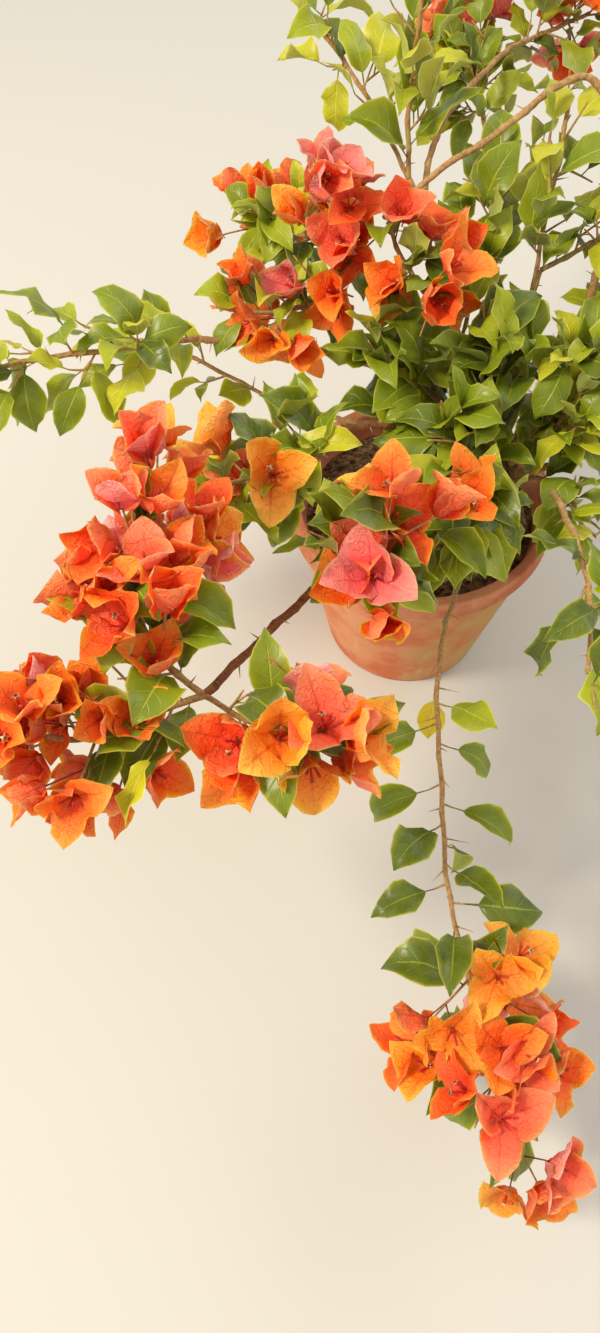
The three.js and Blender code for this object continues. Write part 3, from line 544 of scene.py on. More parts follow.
# %% The source's boughs
BOUGHS = {
    "front": dict(source="trunk", at=0.45, radius=(2.9, 2.4), through=[
        (60, -62, 262), (28, -142, 302), (0, -222, 323)]),
    "left_front": dict(source="trunk", at=0.8, radius=(4, 3.1), through=[
        (-42, -151, 366), (-113, -261, 452), (-205, -395, 496)]),
    "front_centre": dict(source="left_front", at=0.36, radius=(3.2, 2.6), through=[
        (-58, -200, 424), (-78, -246, 446)]),
    "left_middle": dict(source="trunk", at=0.92, radius=(3.6, 2.8), through=[
        (0, -38, 375), (-60, -75, 432), (-110, -104, 456)]),
    "left_long": dict(source="trunk", at=0.86, radius=(4.2, 3.2), through=[
        (-25, 54, 363), (-116, 59, 400), (-235, 24, 447)]),
    "left_far": dict(source="left_long", at=0.22, radius=(2.8, 2.2), through=[
        (-80, 8, 352), (-172, 12, 385)]),
    "top_left": dict(source="trunk", at=0.97, radius=(4.4, 3.4), through=[
        (30, 50, 372), (-20, 90, 425), (-80, 108, 455)]),
    "upright": dict(source="trunk", at=1, radius=(4.6, 3.6), through=[
        (42, 44, 360), (4, 118, 435), (-30, 178, 510)]),
    "top_right": dict(source="upright", at=0.88, radius=(3.2, 2.6), through=[
        (0, 225, 530), (42, 290, 545), (82, 350, 545)]),
    "arch_rise": dict(source="trunk", at=0.94, radius=(4.2, 3.5), through=[
        (112, 45, 350), (160, 110, 450), (158, 200, 572)]),
    "arch_fall": dict(source="arch_rise", at=1, radius=(3.4, 2.8), through=[
        (128, 214, 590), (41, 163, 562), (-14, 141, 537), (-53, 109, 512)]),
    "right": dict(source="trunk", at=0.9, radius=(3.8, 3), through=[
        (72, 50, 375), (103, 112, 456)]),
    "right_low": dict(source="right", at=0.4, radius=(2.8, 2.3), through=[
        (109, 62, 386), (140, 85, 400)]),
    "right_front": dict(source="trunk", at=0.7, radius=(3.6, 2.9), through=[
        (105, -70, 350), (112, -180, 398)]),
    "right_far": dict(source="trunk", at=0.8, radius=(4.2, 3.2), through=[
        (150, -30, 340), (220, -20, 410), (280, -10, 450)]),
    "back_right": dict(source="trunk", at=0.65, radius=(4.2, 3.2), through=[
        (120, 55, 312), (190, 150, 372), (250, 230, 430)]),
    "back": dict(source="trunk", at=0.98, radius=(4.2, 3.2), through=[
        (62, 100, 380), (70, 200, 450), (60, 290, 490)]),
    "back_left": dict(source="trunk", at=0.9, radius=(4.2, 3.2), through=[
        (24, 84, 340), (-50, 160, 388), (-110, 215, 412)]),
}

# %% The source's sprays
SPRAYS = {
    "front_drop": dict(
        on="front", radius=2.4, reach=92, twigs=23, leaf_twig=14, bloom_twig=54, bloom_from=0.66,
        side_leaves=False,
        through=[(-12, -290, 319), (-9, -370, 280), (-2, -450, 228), (22, -530, 174), (48, -630, 132)]),
    "left_high": dict(
        on="left_front", radius=2.6, reach=92, twigs=9, leaf_twig=46, bloom_from=0.15,
        through=[(-230, -384, 522), (-252, -344, 542), (-240, -296, 554)]),
    "left_low": dict(
        on="left_front", radius=2.8, reach=92, twigs=10, leaf_twig=42, bloom_from=0.2,
        through=[(-242, -414, 501), (-280, -434, 506), (-318, -436, 516)]),
    "left_near": dict(
        on="left_front", radius=2.2, reach=76, twigs=6, leaf_twig=30, bloom_from=0.3,
        through=[(-166, -420, 498), (-128, -436, 506)]),
    "front_centre": dict(
        on="front_centre", radius=2.2, reach=84, twigs=8, leaf_twig=44, bloom_from=0.3,
        through=[(-80, -270, 470), (-72, -266, 508)]),
    "left_middle": dict(
        on="left_middle", radius=2.4, reach=76, twigs=8, leaf_twig=38, bloom_from=0.55,
        through=[(-154, -156, 470), (-202, -198, 488)]),
    "left_long": dict(
        on="left_long", radius=2.8, reach=72, twigs=12, leaf_twig=30, bloom_twig=36, bloom_from=0.8,
        through=[(-306, -28, 480), (-397, -66, 494), (-465, -112, 486)]),
    "left_far": dict(
        on="left_far", radius=1.9, reach=58, twigs=6, leaf_twig=24,
        through=[(-255, 36, 418), (-330, 44, 437)]),
    "top_left_low": dict(
        on="top_left", radius=2.4, reach=88, twigs=9, leaf_twig=42, bloom_from=0.2,
        through=[(-112, 76, 450), (-152, 58, 452), (-190, 44, 460)]),
    "top_left_high": dict(
        on="top_left", radius=2.4, reach=84, twigs=8, leaf_twig=40, bloom_from=0.2,
        through=[(-88, 108, 488), (-102, 104, 515), (-110, 102, 538)]),
    "top_centre": dict(
        on="arch_fall", radius=2.3, reach=80, twigs=8, leaf_twig=40, bloom_from=0.2,
        through=[(-42, 80, 498), (-26, 52, 488), (-6, 24, 482)]),
    "top_upright": dict(
        on="upright", radius=2.6, reach=78, twigs=10, leaf_twig=34,
        through=[(-34, 200, 570), (-30, 214, 650), (-26, 222, 726)]),
    "top_upright_left": dict(
        on="upright", radius=2.2, reach=70, twigs=7, leaf_twig=30,
        through=[(-62, 226, 548), (-98, 268, 580), (-134, 310, 606)]),
    "top_right": dict(
        on="top_right", radius=2.2, reach=80, twigs=9, leaf_twig=38, bloom_from=0.5,
        through=[(136, 400, 538), (184, 452, 528)]),
    "right_rear": dict(
        on="right", radius=2.5, reach=80, twigs=9, leaf_twig=38, bloom_from=0.72,
        through=[(160, 122, 486), (218, 132, 512), (268, 138, 522)]),
    "right_low": dict(
        on="right_low", radius=2, reach=74, twigs=7, leaf_twig=34,
        through=[(205, 84, 418), (275, 96, 436)]),
    "right_front": dict(
        on="right_front", radius=2.4, reach=76, twigs=6, leaf_twig=34,
        through=[(114, -245, 398), (108, -310, 380)]),
    "right_far": dict(
        on="right_far", radius=2.6, reach=86, twigs=10, leaf_twig=42, bloom_from=0.45,
        through=[(345, 6, 478), (400, 24, 490)]),
    "back_right": dict(
        on="back_right", radius=2.6, reach=90, twigs=10, leaf_twig=44, bloom_from=0.5,
        through=[(300, 295, 478), (335, 345, 505)]),
    "back": dict(
        on="back", radius=2.6, reach=90, twigs=10, leaf_twig=44, bloom_from=0.7,
        through=[(52, 360, 508), (44, 430, 520)]),
    "back_left": dict(
        on="back_left", radius=2.6, reach=90, twigs=10, leaf_twig=44, bloom_from=0.5,
        through=[(-146, 242, 404), (-182, 270, 394)]),
    "centre_left": dict(
        on="trunk", at=0.95, radius=2.8, reach=80, twigs=12, leaf_twig=36,
        through=[(30, 2, 352), (-8, 4, 395), (-56, -2, 436)]),
    "centre_right": dict(
        on="trunk", at=0.9, radius=2.8, reach=80, twigs=12, leaf_twig=36,
        through=[(100, -22, 340), (120, -28, 392), (132, -10, 440)]),
    "centre_top": dict(
        on="trunk", at=1, radius=2.8, reach=80, twigs=13, leaf_twig=38,
        through=[(58, -12, 352), (46, -14, 405), (40, 6, 455)]),
    "centre_front": dict(
        on="trunk", at=0.75, radius=2.6, reach=80, twigs=11, leaf_twig=34,
        through=[(52, -40, 330), (24, -62, 372), (2, -66, 416)]),
    "rim_right": dict(
        on="right_front", at=0.34, radius=2.2, reach=66, twigs=5, leaf_twig=26,
        through=[(130, -78, 338), (142, -112, 334)]),
    "rim_front": dict(
        on="left_front", at=0.16, radius=2.4, reach=80, twigs=9, leaf_twig=32, bloom_twig=36,
        bloom_from=0.78, through=[(20, -122, 366), (0, -156, 394), (-16, -186, 408)]),
    "right_upright": dict(
        on="right", at=0.9, radius=2.2, reach=72, twigs=9, leaf_twig=34,
        through=[(100, 126, 500), (114, 176, 535), (122, 222, 558)]),
    "under_arch": dict(
        on="upright", at=0.42, radius=2.2, reach=74, twigs=9, leaf_twig=34,
        through=[(42, 112, 450), (54, 146, 488), (46, 186, 512)]),
}
FIRST_SEED = 11

for number, spray in enumerate(SPRAYS.values()):
    spray["seed"] = FIRST_SEED + number
print(len(BOUGHS), "boughs and", len(SPRAYS), "sprays")

# %% [markdown]
# ## The trunk
# An old bougainvillea trunk is twisted and ribbed, with a flared foot and tan bark in long furrows. Its
# rings follow the source's formula for ribs and flare, and bark relief is added on top as a height that
# runs mostly along the trunk, so that the furrows are real shape and not only paint. A hollow is sunk into
# its front, where a limb once broke off. How high the bark stands at each place is kept in a map, so that
# the finish can paint shade into what lies low: the furrows and the hollow.

# %% Trunk surface
TRUNK_POINTS = [(94, -30, 217.35), (93, -26, 243), (85, -11, 277), (79, -2, 305)]
TRUNK_FOOT_RADIUS = 19 * MM
TRUNK_TOP_RADIUS = 15 * MM
TRUNK_FLARE = 6 * MM
TRUNK_FLARE_SHARE = 0.16
TRUNK_RIBS = 4
TRUNK_RIB_DEPTH = 0.1
TRUNK_TWIST = 0.9
TRUNK_SIDES = 150
TRUNK_RINGS = 120
DOME_HEIGHT = 6 * MM
DOME_RINGS = 14
DOME_POWER = 0.7
DOME_TIP = 0.03
TRUNK_SUNK = 4 * MM

trunk_path = smooth_path(np.array(TRUNK_POINTS) * MM, TRUNK_RINGS)
share = np.linspace(0, 1, TRUNK_RINGS)[:, None]
turn = 2 * math.pi * np.arange(TRUNK_SIDES) / TRUNK_SIDES
rib = 1 + TRUNK_RIB_DEPTH * np.cos(TRUNK_RIBS * turn + TRUNK_TWIST * 2 * math.pi * share)
trunk_radius = (TRUNK_FOOT_RADIUS + (TRUNK_TOP_RADIUS - TRUNK_FOOT_RADIUS) * share
                + TRUNK_FLARE * np.exp(-share / TRUNK_FLARE_SHARE)) * rib
climb = np.linspace(0, math.pi / 2, DOME_RINGS)[1:, None]
dome = np.maximum(np.cos(climb), DOME_TIP) ** DOME_POWER
trunk_radius = np.vstack([trunk_radius, trunk_radius[-1] * dome])
trunk_centre = np.vstack([trunk_path, trunk_path[-1] + DOME_HEIGHT * np.sin(climb) * UP])
trunk_centre[0] -= TRUNK_SUNK * UP
spoke = np.stack([np.cos(turn), np.sin(turn), 0 * turn], axis=-1)
trunk_rings = trunk_centre[:, None] + trunk_radius[..., None] * spoke
print("trunk:", round(path_length(trunk_path) / MM), "mm long,", len(trunk_rings), "rings")

# %% Bark relief
FURROW_DEPTH = 3.4 * MM
FURROW_STRETCH = 0.16
FURROW_TWIST = 0.5
FURROW_SIZE = 11 * MM
SMALL_FURROW_SIZE = 4 * MM
SMALL_FURROWS = 0.5
HIGHEST_RIDGE = 1.3
BARK_LEVEL = 0.7
KNOB_SIZE = 30 * MM
KNOB_HEIGHT = 1.2 * MM
HOLLOW_SHARE = 0.42
HOLLOW_TURN = math.radians(-105)
HOLLOW_SIZE = 8 * MM
HOLLOW_DEPTH = 6 * MM
HOLLOW_LENGTHENED = 0.6

twisted = turn + TRUNK_TWIST * FURROW_TWIST * math.pi * np.vstack([share, np.ones((DOME_RINGS - 1, 1))])
along_grain = np.stack([
    np.cos(twisted) * TRUNK_FOOT_RADIUS, np.sin(twisted) * TRUNK_FOOT_RADIUS,
    FURROW_STRETCH * trunk_rings[..., 2]], axis=-1)
furrows = np.abs(soft_noise(along_grain, FURROW_SIZE, seed=21))
furrows = furrows + SMALL_FURROWS * np.abs(soft_noise(along_grain, SMALL_FURROW_SIZE, seed=22))
knobs = soft_noise(trunk_rings, KNOB_SIZE, seed=23)
hollow_ring = int(HOLLOW_SHARE * TRUNK_RINGS)
hollow_spoke = np.array([math.cos(HOLLOW_TURN), math.sin(HOLLOW_TURN), 0])
hollow_centre = trunk_path[hollow_ring] + trunk_radius[hollow_ring, 0] * hollow_spoke
from_hollow = np.linalg.norm((trunk_rings - hollow_centre) * [1, 1, HOLLOW_LENGTHENED], axis=-1)
hollow = np.exp(-(from_hollow / HOLLOW_SIZE) ** 2)
bark_height = np.clip(furrows, 0, HIGHEST_RIDGE) / HIGHEST_RIDGE
relief = FURROW_DEPTH * (bark_height - BARK_LEVEL) + KNOB_HEIGHT * knobs - HOLLOW_DEPTH * hollow
trunk_rings = trunk_rings + (relief * np.minimum(trunk_radius / TRUNK_TOP_RADIUS, 1))[..., None] * spoke
# The hollow counts as low bark, so the finish paints shade into it.
bark_height = bark_height * (1 - hollow)
print("bark relief from", round(relief.min() / MM, 1), "to", round(relief.max() / MM, 1), "mm")

# %% Bark finish
WORN_SIZE = 8


def bark_finish(name, low, high, patch, grain_size, height_map=None):
    """Bark: from the furrows' colour to the ridges', with pale worn patches and a fine lengthwise grain.
    Where a map holds the bark's height, the furrows' colour also fills what lies low, as painted shade."""
    bark = Finish(name, 0.85)
    grain = bark.noise(grain_size, 5, 0.65, (1, 1, 0.3))
    worn = bark.noise(WORN_SIZE * grain_size, 4)
    tone = bark.blend(low, high, grain.between(0.3, 0.68))
    tone = bark.blend(tone, patch, worn.between(0.5, 0.75) * 0.6)
    if height_map:
        # Painted shade: where the bark lies low, in the furrows and the hollow, it takes the furrows' dark
        # colour.
        tone = bark.blend(tone, low, bark.place(height_map)[0].between(0.62, 0.12))
    bark.bump(grain, 0.6 * MM, 0.8)
    return bark.paint(tone)


trunk = Piece()
trunk_faces = skin(len(trunk_rings), TRUNK_SIDES)
corner_height = bark_height.ravel()[trunk_faces[0]]
trunk.add(trunk_rings.reshape(1, -1, 3), trunk_faces, maps={
    "bark_height": np.stack([corner_height, corner_height], axis=-1)})
trunk_finish = bark_finish("bark", "#3a2312", "#8a6436", "#a5824e", 3 * MM, "bark_height")
trunk.make("trunk_bark", [trunk_finish], ["trunk"])

# %% [markdown]
# ## The boughs
# Boughs are long, tapering and nearly bare. Where one leaves its parent it has a collar, and along it the
# old leaf joints show as low swellings about 26 mm apart, at each of which it changes its direction a
# little. A curve with a round bevel would be too smooth for that. So each bough is a tube whose path and
# radius carry these.

# %% Paths of all limbs
BOUGH_STEP = 3 * MM
ROUGH_STEPS = 40
LEAST_STEPS = 8


def limb_path(parent, at, through):
    """The path of a limb from its place on the parent through the given points, in even steps."""
    start = point_on(paths[parent], at)[0]
    points = np.vstack([start, np.array(through) * MM])
    rough = smooth_path(points, ROUGH_STEPS)
    return smooth_path(points, max(LEAST_STEPS, int(path_length(rough) / BOUGH_STEP)))


paths = {"trunk": trunk_path}
for name, bough in BOUGHS.items():
    paths[name] = limb_path(bough["source"], bough["at"], bough["through"])
stems = {
    name: limb_path(spray["on"], spray.get("at", 1), spray["through"]) for name, spray in SPRAYS.items()}
limbs = [*paths.values(), *stems.values()]
print(len(limbs), "limbs,", round(sum(path_length(limb) for limb in limbs), 1), "m long in all")

# %% A limb's surface
JOINT_GAP = 26 * MM
JOINT_WIDTH = 2.6 * MM
JOINT_SWELL = 0.16
JOINT_SHIFT = 0.9 * MM
COLLAR_WIDTH = 9 * MM
LIMB_LUMPS = 0.07
LIMB_LUMP_SIZE = 12 * MM


def limb_surface(path, radius, sides, collar, seed):
    """A limb's corners: a tapering tube, wider by a falling exponential at its collar and by a bell curve
    at each joint, with soft lumps. Its path is shifted to one side at one joint and to the other at the
    next, with a straight run between them."""
    run = np.linspace(0, path_length(path), len(path))
    level = square_to(unit(np.gradient(path, axis=0)))[0]
    fold = np.abs(run / JOINT_GAP % 2 - 1) * 2 - 1
    path = path + (JOINT_SHIFT * fold * np.minimum(1, run / JOINT_GAP))[:, None] * level
    taper = np.linspace(radius[0], radius[1], len(path)) * MM
    off_joint = np.abs((run + JOINT_GAP / 2) % JOINT_GAP - JOINT_GAP / 2)
    swell = JOINT_SWELL * np.exp(-(off_joint / JOINT_WIDTH) ** 2) + collar * np.exp(-run / COLLAR_WIDTH)
    rings = tubes(path[None], (taper * (1 + swell))[None], sides)
    lumps = 1 + LIMB_LUMPS * soft_noise(rings, LIMB_LUMP_SIZE, seed)
    rings = path[None, :, None] + (rings - path[None, :, None]) * lumps[..., None]
    return rings.reshape(1, -1, 3), skin(len(path), sides)


# %% Boughs
RED_BOUGHS = ("left_front", "front_centre", "left_middle")
BOUGH_GRAIN = 2.2 * MM
BOUGH_SIDES = 12
COLLAR_SWELL = 0.45

bough_finishes = [
    bark_finish("bough_bark", "#8a643a", "#ba925c", "#cbaa70", BOUGH_GRAIN),
    bark_finish("bough_bark_red", "#5c3014", "#92582c", "#b07e46", BOUGH_GRAIN),
]
boughs = Piece()
for number, (name, bough) in enumerate(BOUGHS.items()):
    collar = 0 if bough["at"] == 1 and bough["source"] != "trunk" else COLLAR_SWELL
    surface = limb_surface(paths[name], bough["radius"], BOUGH_SIDES, collar, number)
    boughs.add(*surface, finish=int(name in RED_BOUGHS))
boughs.make("bough_bark", bough_finishes, ["bough_" + name for name in BOUGHS])

# %% [markdown]
# ## Twigs by the source's rule
# Each stem carries twigs set round it by a fixed turn, the golden angle, as leaves are on a real shoot. A
# tree generator would grow another bush, so the source's own rule is written again here. The source stops
# at one twig with a leaf or a blossom on its end. Here the same twigs carry finer ones, with leaves along
# them all, and everything stays within the spray's reach.

# %% The space of each spray
CELL_MARGIN = 0.03
BOX_MARGIN = 4 * MM
POT_CLEARANCE = 4 * MM
LINE_POINTS = 11

stem_lines = {name: smooth_path(path, LINE_POINTS) for name, path in stems.items()}
line_starts = np.array([line[:-1] for line in stem_lines.values()])
line_runs = np.array([line[1:] - line[:-1] for line in stem_lines.values()])
reaches = np.array([spray["reach"] * MM for spray in SPRAYS.values()])


def reach_shares(places):
    """How far each place lies from each spray's stem, as a share of that spray's reach. The nearest point
    of a straight run is where the square foot falls on it, or its nearer end."""
    away = places[:, None, None] - line_starts
    foot = np.clip((away * line_runs).sum(-1) / (line_runs**2).sum(-1), 0, 1)
    return np.linalg.norm(away - foot[..., None] * line_runs, axis=-1).min(axis=2) / reaches


def in_own_space(number, places, margin=CELL_MARGIN):
    """True where a place is within the spray's reach, nearer its own stem than any other for its reach by
    the margin, inside the CAD box, and clear of the pot."""
    shares = reach_shares(places)
    own = shares[:, number]
    others = np.delete(shares, number, axis=1).min(axis=1)
    low, high = np.array(cad_box)
    boxed = np.all((places > low - BOX_MARGIN) & (places < high + BOX_MARGIN), axis=1)
    outside_pot = (places[:, 2] > POT_HEIGHT + POT_CLEARANCE) | (
        np.linalg.norm(places[:, :2], axis=1) > POT_RIM_RADIUS + POT_CLEARANCE)
    return (own < 1) & (others > own + margin) & boxed & outside_pot


# %% Shoots as arrays
class Shoots:
    """Many twigs at once: their roots, directions, lengths and how far each bends up, as arrays."""

    def __init__(self, root, way, length, sag):
        self.root, self.way, self.length, self.sag = root, way, length, sag

    def at(self, share):
        """Place and direction at a share of each twig: it sets out along its direction and bends up or
        down by the square of the share."""
        step = self.length[:, None]
        share = np.broadcast_to(share, len(self.root))[:, None]
        place = self.root + step * (share * self.way + share**2 * self.sag[:, None] * UP)
        return place, unit(self.way + 2 * share * self.sag[:, None] * UP)

    def some(self, chosen):
        """The chosen ones of the twigs."""
        return Shoots(self.root[chosen], self.way[chosen], self.length[chosen], self.sag[chosen])

    def line(self, steps):
        """The twigs' paths, as places[twig, step]."""
        return np.stack([self.at(share)[0] for share in np.linspace(0, 1, steps)], axis=1)


# %% Twigs on a stem
TWIG_SPREAD = math.radians(62)
TIP_SPREAD = math.radians(12)
TWIG_LIFT = 0.35
TWIG_SIZE_RANGE = 0.25
FIRST_TWIG = 0.1
TURN_PER_TWIG = math.radians(137.5)
SAG_RANGE = (-0.1, 0.12)


def turned_away(ahead, turn, spread, lift):
    """The direction at an angle of spread from ahead, turned round it, and lifted a little."""
    level, rise = square_to(ahead)
    turn = np.asarray(turn)[:, None]
    aside = np.cos(turn) * level + np.sin(turn) * rise
    return unit(ahead * np.cos(spread) + aside * np.sin(spread) + UP * np.asarray(lift)[..., None])


def main_twigs(name, random):
    """The source's twigs for one spray, and which of them bloom."""
    spray = SPRAYS[name]
    number = np.arange(spray["twigs"])
    along = FIRST_TWIG + (1 - FIRST_TWIG) * (number + 1) / spray["twigs"]
    root, ahead = point_on(stems[name], along)
    spread = np.where(number == spray["twigs"] - 1, TIP_SPREAD, TWIG_SPREAD)[:, None]
    blooms = along >= spray.get("bloom_from", math.inf)
    way = turned_away(ahead, TURN_PER_TWIG * number + spray["seed"], spread, np.full(len(number), TWIG_LIFT))
    size = np.where(blooms, spray.get("bloom_twig", spray["leaf_twig"]), spray["leaf_twig"]) * MM
    length = size * (1 + TWIG_SIZE_RANGE * random.uniform(-1, 1, len(number)))
    return Shoots(root, way, length, random.uniform(*SAG_RANGE, len(number))), blooms


# %% Twigs on twigs
FINER_LIFT = (0, 0.4)
FINER_LENGTHS = (0.75, 1.2)


def set_round(shoots, places, spread, lift, random):
    """Roots and directions of what grows at each of the places along the shoots, turned on by the golden
    angle from one place to the next."""
    for step, share in enumerate(places):
        root, ahead = shoots.at(share)
        turn = TURN_PER_TWIG * step + random.uniform(0, 2 * math.pi, len(root))
        yield root, turned_away(ahead, turn, spread, random.uniform(*lift, len(root)))


def joined(batches):
    """The batches' arrays of each kind, end to end."""
    return [np.concatenate(parts) for parts in zip(*batches)]


def finer_twigs(twigs, places, size, spread, random):
    """Twigs on twigs, one at each of the places along each twig."""
    made = []
    for root, way in set_round(twigs, places, spread, FINER_LIFT, random):
        length = twigs.length * size * random.uniform(*FINER_LENGTHS, len(root))
        made.append((root, way, length, random.uniform(*SAG_RANGE, len(root))))
    return Shoots(*joined(made))


# %% [markdown]
# ## Choosing places
# Two leaves can't fill one place: the real ones turn aside. A physics run could push them apart. Here
# candidates are taken in turn, and one is dropped where its middle lies too near a leaf or a blossom that
# is already there. This is the one job done leaf by leaf.

# %% Keeping apart
def spaced(places, clear, standing):
    """Numbers of the places that keep the clear distance from those kept before them and from the
    standing ones."""
    kept = []
    for number, place in enumerate(places):
        if len(standing) and np.min(np.linalg.norm(standing - place, axis=1)) < clear:
            continue
        kept.append(number)
        standing = np.vstack([standing, place])
    return np.array(kept, int)


def away_from(places, others, clear):
    """True where a place keeps the clear distance from all the others."""
    return np.linalg.norm(places[:, None] - others, axis=-1).min(axis=1, initial=math.inf) > clear


# %% Blossoms of a spray
STALK_PLACES = (0.25, 0.42, 0.58, 0.74, 0.9)
STALK_SIZE = 0.5
STALK_SPREAD = math.radians(52)
BRACT_LENGTH = 44 * MM
BLOSSOM_CLEAR = 28 * MM
BLOSSOM_LIFT = 0.4
BLOSSOM_SCATTER = 0.25
BLOSSOM_HEIGHT = 0.55
BLOSSOM_OUTER = 0.25
OUTER_FIRST = ("front_drop",)
SIZE_OF = {
    "left_high": 0.84, "left_low": 0.76, "left_near": 0.98, "top_left_low": 0.9, "top_left_high": 0.92}
MOST_BLOSSOMS = {
    "front_drop": 20, "left_high": 30, "left_low": 26, "left_near": 8, "front_centre": 8, "left_middle": 5,
    "left_long": 3, "top_left_low": 12, "top_left_high": 13, "top_centre": 8, "rim_front": 3,
    "top_right": 14, "right_rear": 4, "right_far": 10, "back_right": 10, "back": 6, "back_left": 9}


def blossom_middles(place, way):
    """The places of the blossoms' middles, a part of a bract's length beyond their stalks' ends."""
    return place + BLOSSOM_HEIGHT * BRACT_LENGTH * way


def blossoms_of(name, number, blooming, random):
    """The blossoms of one spray, one at the end of each blooming twig and more on stalks at its sides, as
    rows of place, direction and spray, and the stalks that carry one."""
    stalks = finer_twigs(blooming, STALK_PLACES, STALK_SIZE, STALK_SPREAD, random)
    place, way = joined([blooming.at(1), stalks.at(1)])
    way = unit(way + BLOSSOM_LIFT * UP + BLOSSOM_SCATTER * random.normal(size=place.shape))
    middle = blossom_middles(place, way)
    order = np.flatnonzero(in_own_space(number, middle + BLOSSOM_OUTER * BRACT_LENGTH * way))
    if name in OUTER_FIRST:
        order = order[np.argsort(-reach_shares(middle[order])[:, number])]
    clear = BLOSSOM_CLEAR * SIZE_OF.get(name, 1)
    order = order[spaced(middle[order], clear, np.empty((0, 3)))][:MOST_BLOSSOMS.get(name, 0)]
    on_stalk = order[order >= len(blooming.root)] - len(blooming.root)
    return np.column_stack([place, way, np.full(len(place), number)])[order], stalks.some(on_stalk)


# %% Places for leaves
STEM_LEAF_GAP = 11 * MM
STEM_LEAF_PART = (0.08, 0.97)
STEM_LEAF_LIFT = (-0.2, 0.4)
STEM_LEAF_TURN = (-0.5, 0.5)
LEAF_LIFT = (-0.35, 0.3)
LEAF_SPREAD = math.radians(58)


def leaves_at(shoots, places, random):
    """Roots and headings of leaves at the sides of shoots, and a 1 for each, as it stands at a side."""
    return [(root, way, np.ones(len(root)))
            for root, way in set_round(shoots, places, LEAF_SPREAD, LEAF_LIFT, random)]


def leaves_at_tips(shoots):
    """Roots and headings of leaves at the ends of shoots, and a 0 for each."""
    return *shoots.at(1), np.zeros(len(shoots.root))


def leaves_on_stem(path, random):
    """Roots and headings of leaves on a spray's own stem, evenly spaced along it."""
    count = int(path_length(path) / STEM_LEAF_GAP)
    root, ahead = point_on(path, np.linspace(*STEM_LEAF_PART, count))
    turn = TURN_PER_TWIG * np.arange(count) + random.uniform(*STEM_LEAF_TURN, count)
    lift = random.uniform(*STEM_LEAF_LIFT, count)
    return root, turned_away(ahead, turn, LEAF_SPREAD, lift), np.ones(count)


# %% Leaves that have room
LEAF_LENGTH = 64 * MM
LEAF_SIZES = (0.76, 1.14)
TIP_LEAF_SIZE = 0.9
LEAF_MIDDLE = 0.55
LEAF_CLEAR = 15.5 * MM
LEAF_FROM_BLOSSOM = 25 * MM
TIP_MARGIN = -0.35
SAME_PLACE = 0.01 * MM
OPEN = {
    "centre_left": 1.15, "centre_top": 1.15, "centre_right": 1.15, "left_long": 1.9, "left_far": 2.2,
    "right_front": 2.5, "top_upright": 2.1, "top_upright_left": 2.2, "right_rear": 1.4, "right_low": 1.6,
    "rim_right": 1.5, "left_middle": 1.2, "right_upright": 1.9, "under_arch": 1.8, "top_right": 2.0}
LARGE = {
    "front_drop": 1.3, "centre_front": 1.3, "centre_left": 1.35, "centre_top": 1.25, "rim_front": 1.15,
    "front_centre": 1.1, "left_middle": 1.15, "right_front": 1.15, "top_upright": 1.2,
    "top_upright_left": 1.15, "under_arch": 1.2, "right_upright": 1.15, "left_low": 1.05,
    "left_high": 1.05, "right_far": 0.95, "back": 0.95, "back_left": 0.95}


def leaf_middles(leaves):
    """The places of the leaves' middles, from their rows."""
    return leaves[:, :3] + LEAF_MIDDLE * leaves[:, 7:8] * leaves[:, 3:6]


def leaves_of(name, number, candidates, blossoms, standing, random):
    """Those of the candidates that have room between the blossoms and the leaves already standing, as rows
    of root, heading, spray, length and whether the leaf stands at a side."""
    place, way, side = joined(candidates)
    scale = LARGE.get(name, 1) * random.uniform(*LEAF_SIZES, len(place))
    scale = scale * np.where(side > 0, 1, TIP_LEAF_SIZE)
    length = LEAF_LENGTH * scale
    rows = np.column_stack([place, way, np.full(len(place), number), length, side])
    tip, middle = place + way * length[:, None], leaf_middles(rows)
    free = in_own_space(number, tip, TIP_MARGIN) & in_own_space(number, middle)
    bloom = blossom_middles(blossoms[:, :3], blossoms[:, 3:6])
    rows = rows[free & away_from(middle, bloom, LEAF_FROM_BLOSSOM)]
    return rows[spaced(leaf_middles(rows), LEAF_CLEAR * OPEN.get(name, 1), leaf_middles(standing))]


def bearing(twigs, places, leaves):
    """Those of the twigs on which at least one of the leaves stands."""
    used = np.zeros(len(twigs.root), bool)
    for share in places:
        used |= ~away_from(twigs.at(share)[0], leaves[:, :3], SAME_PLACE)
    return twigs.some(used)


# %% Growing every spray
FINER_PLACES = (0.34, 0.66)
DENSE_PLACES = (0.16, 0.34, 0.52, 0.7, 0.88)
FINER_SIZE = 0.62
DENSE_SIZE = 0.85
FINER_SPREAD = math.radians(50)
LEAF_PLACES = (0.22, 0.4, 0.58, 0.76, 0.92)
FINER_LEAF_PLACES = (0.25, 0.5, 0.75)
BLOOM_LEAF_PLACES = (0.16, 0.34)
DENSE = (
    "centre_left", "centre_right", "centre_top", "centre_front", "rim_front", "rim_right",
    "front_centre", "left_middle", "top_centre", "right_rear", "under_arch")

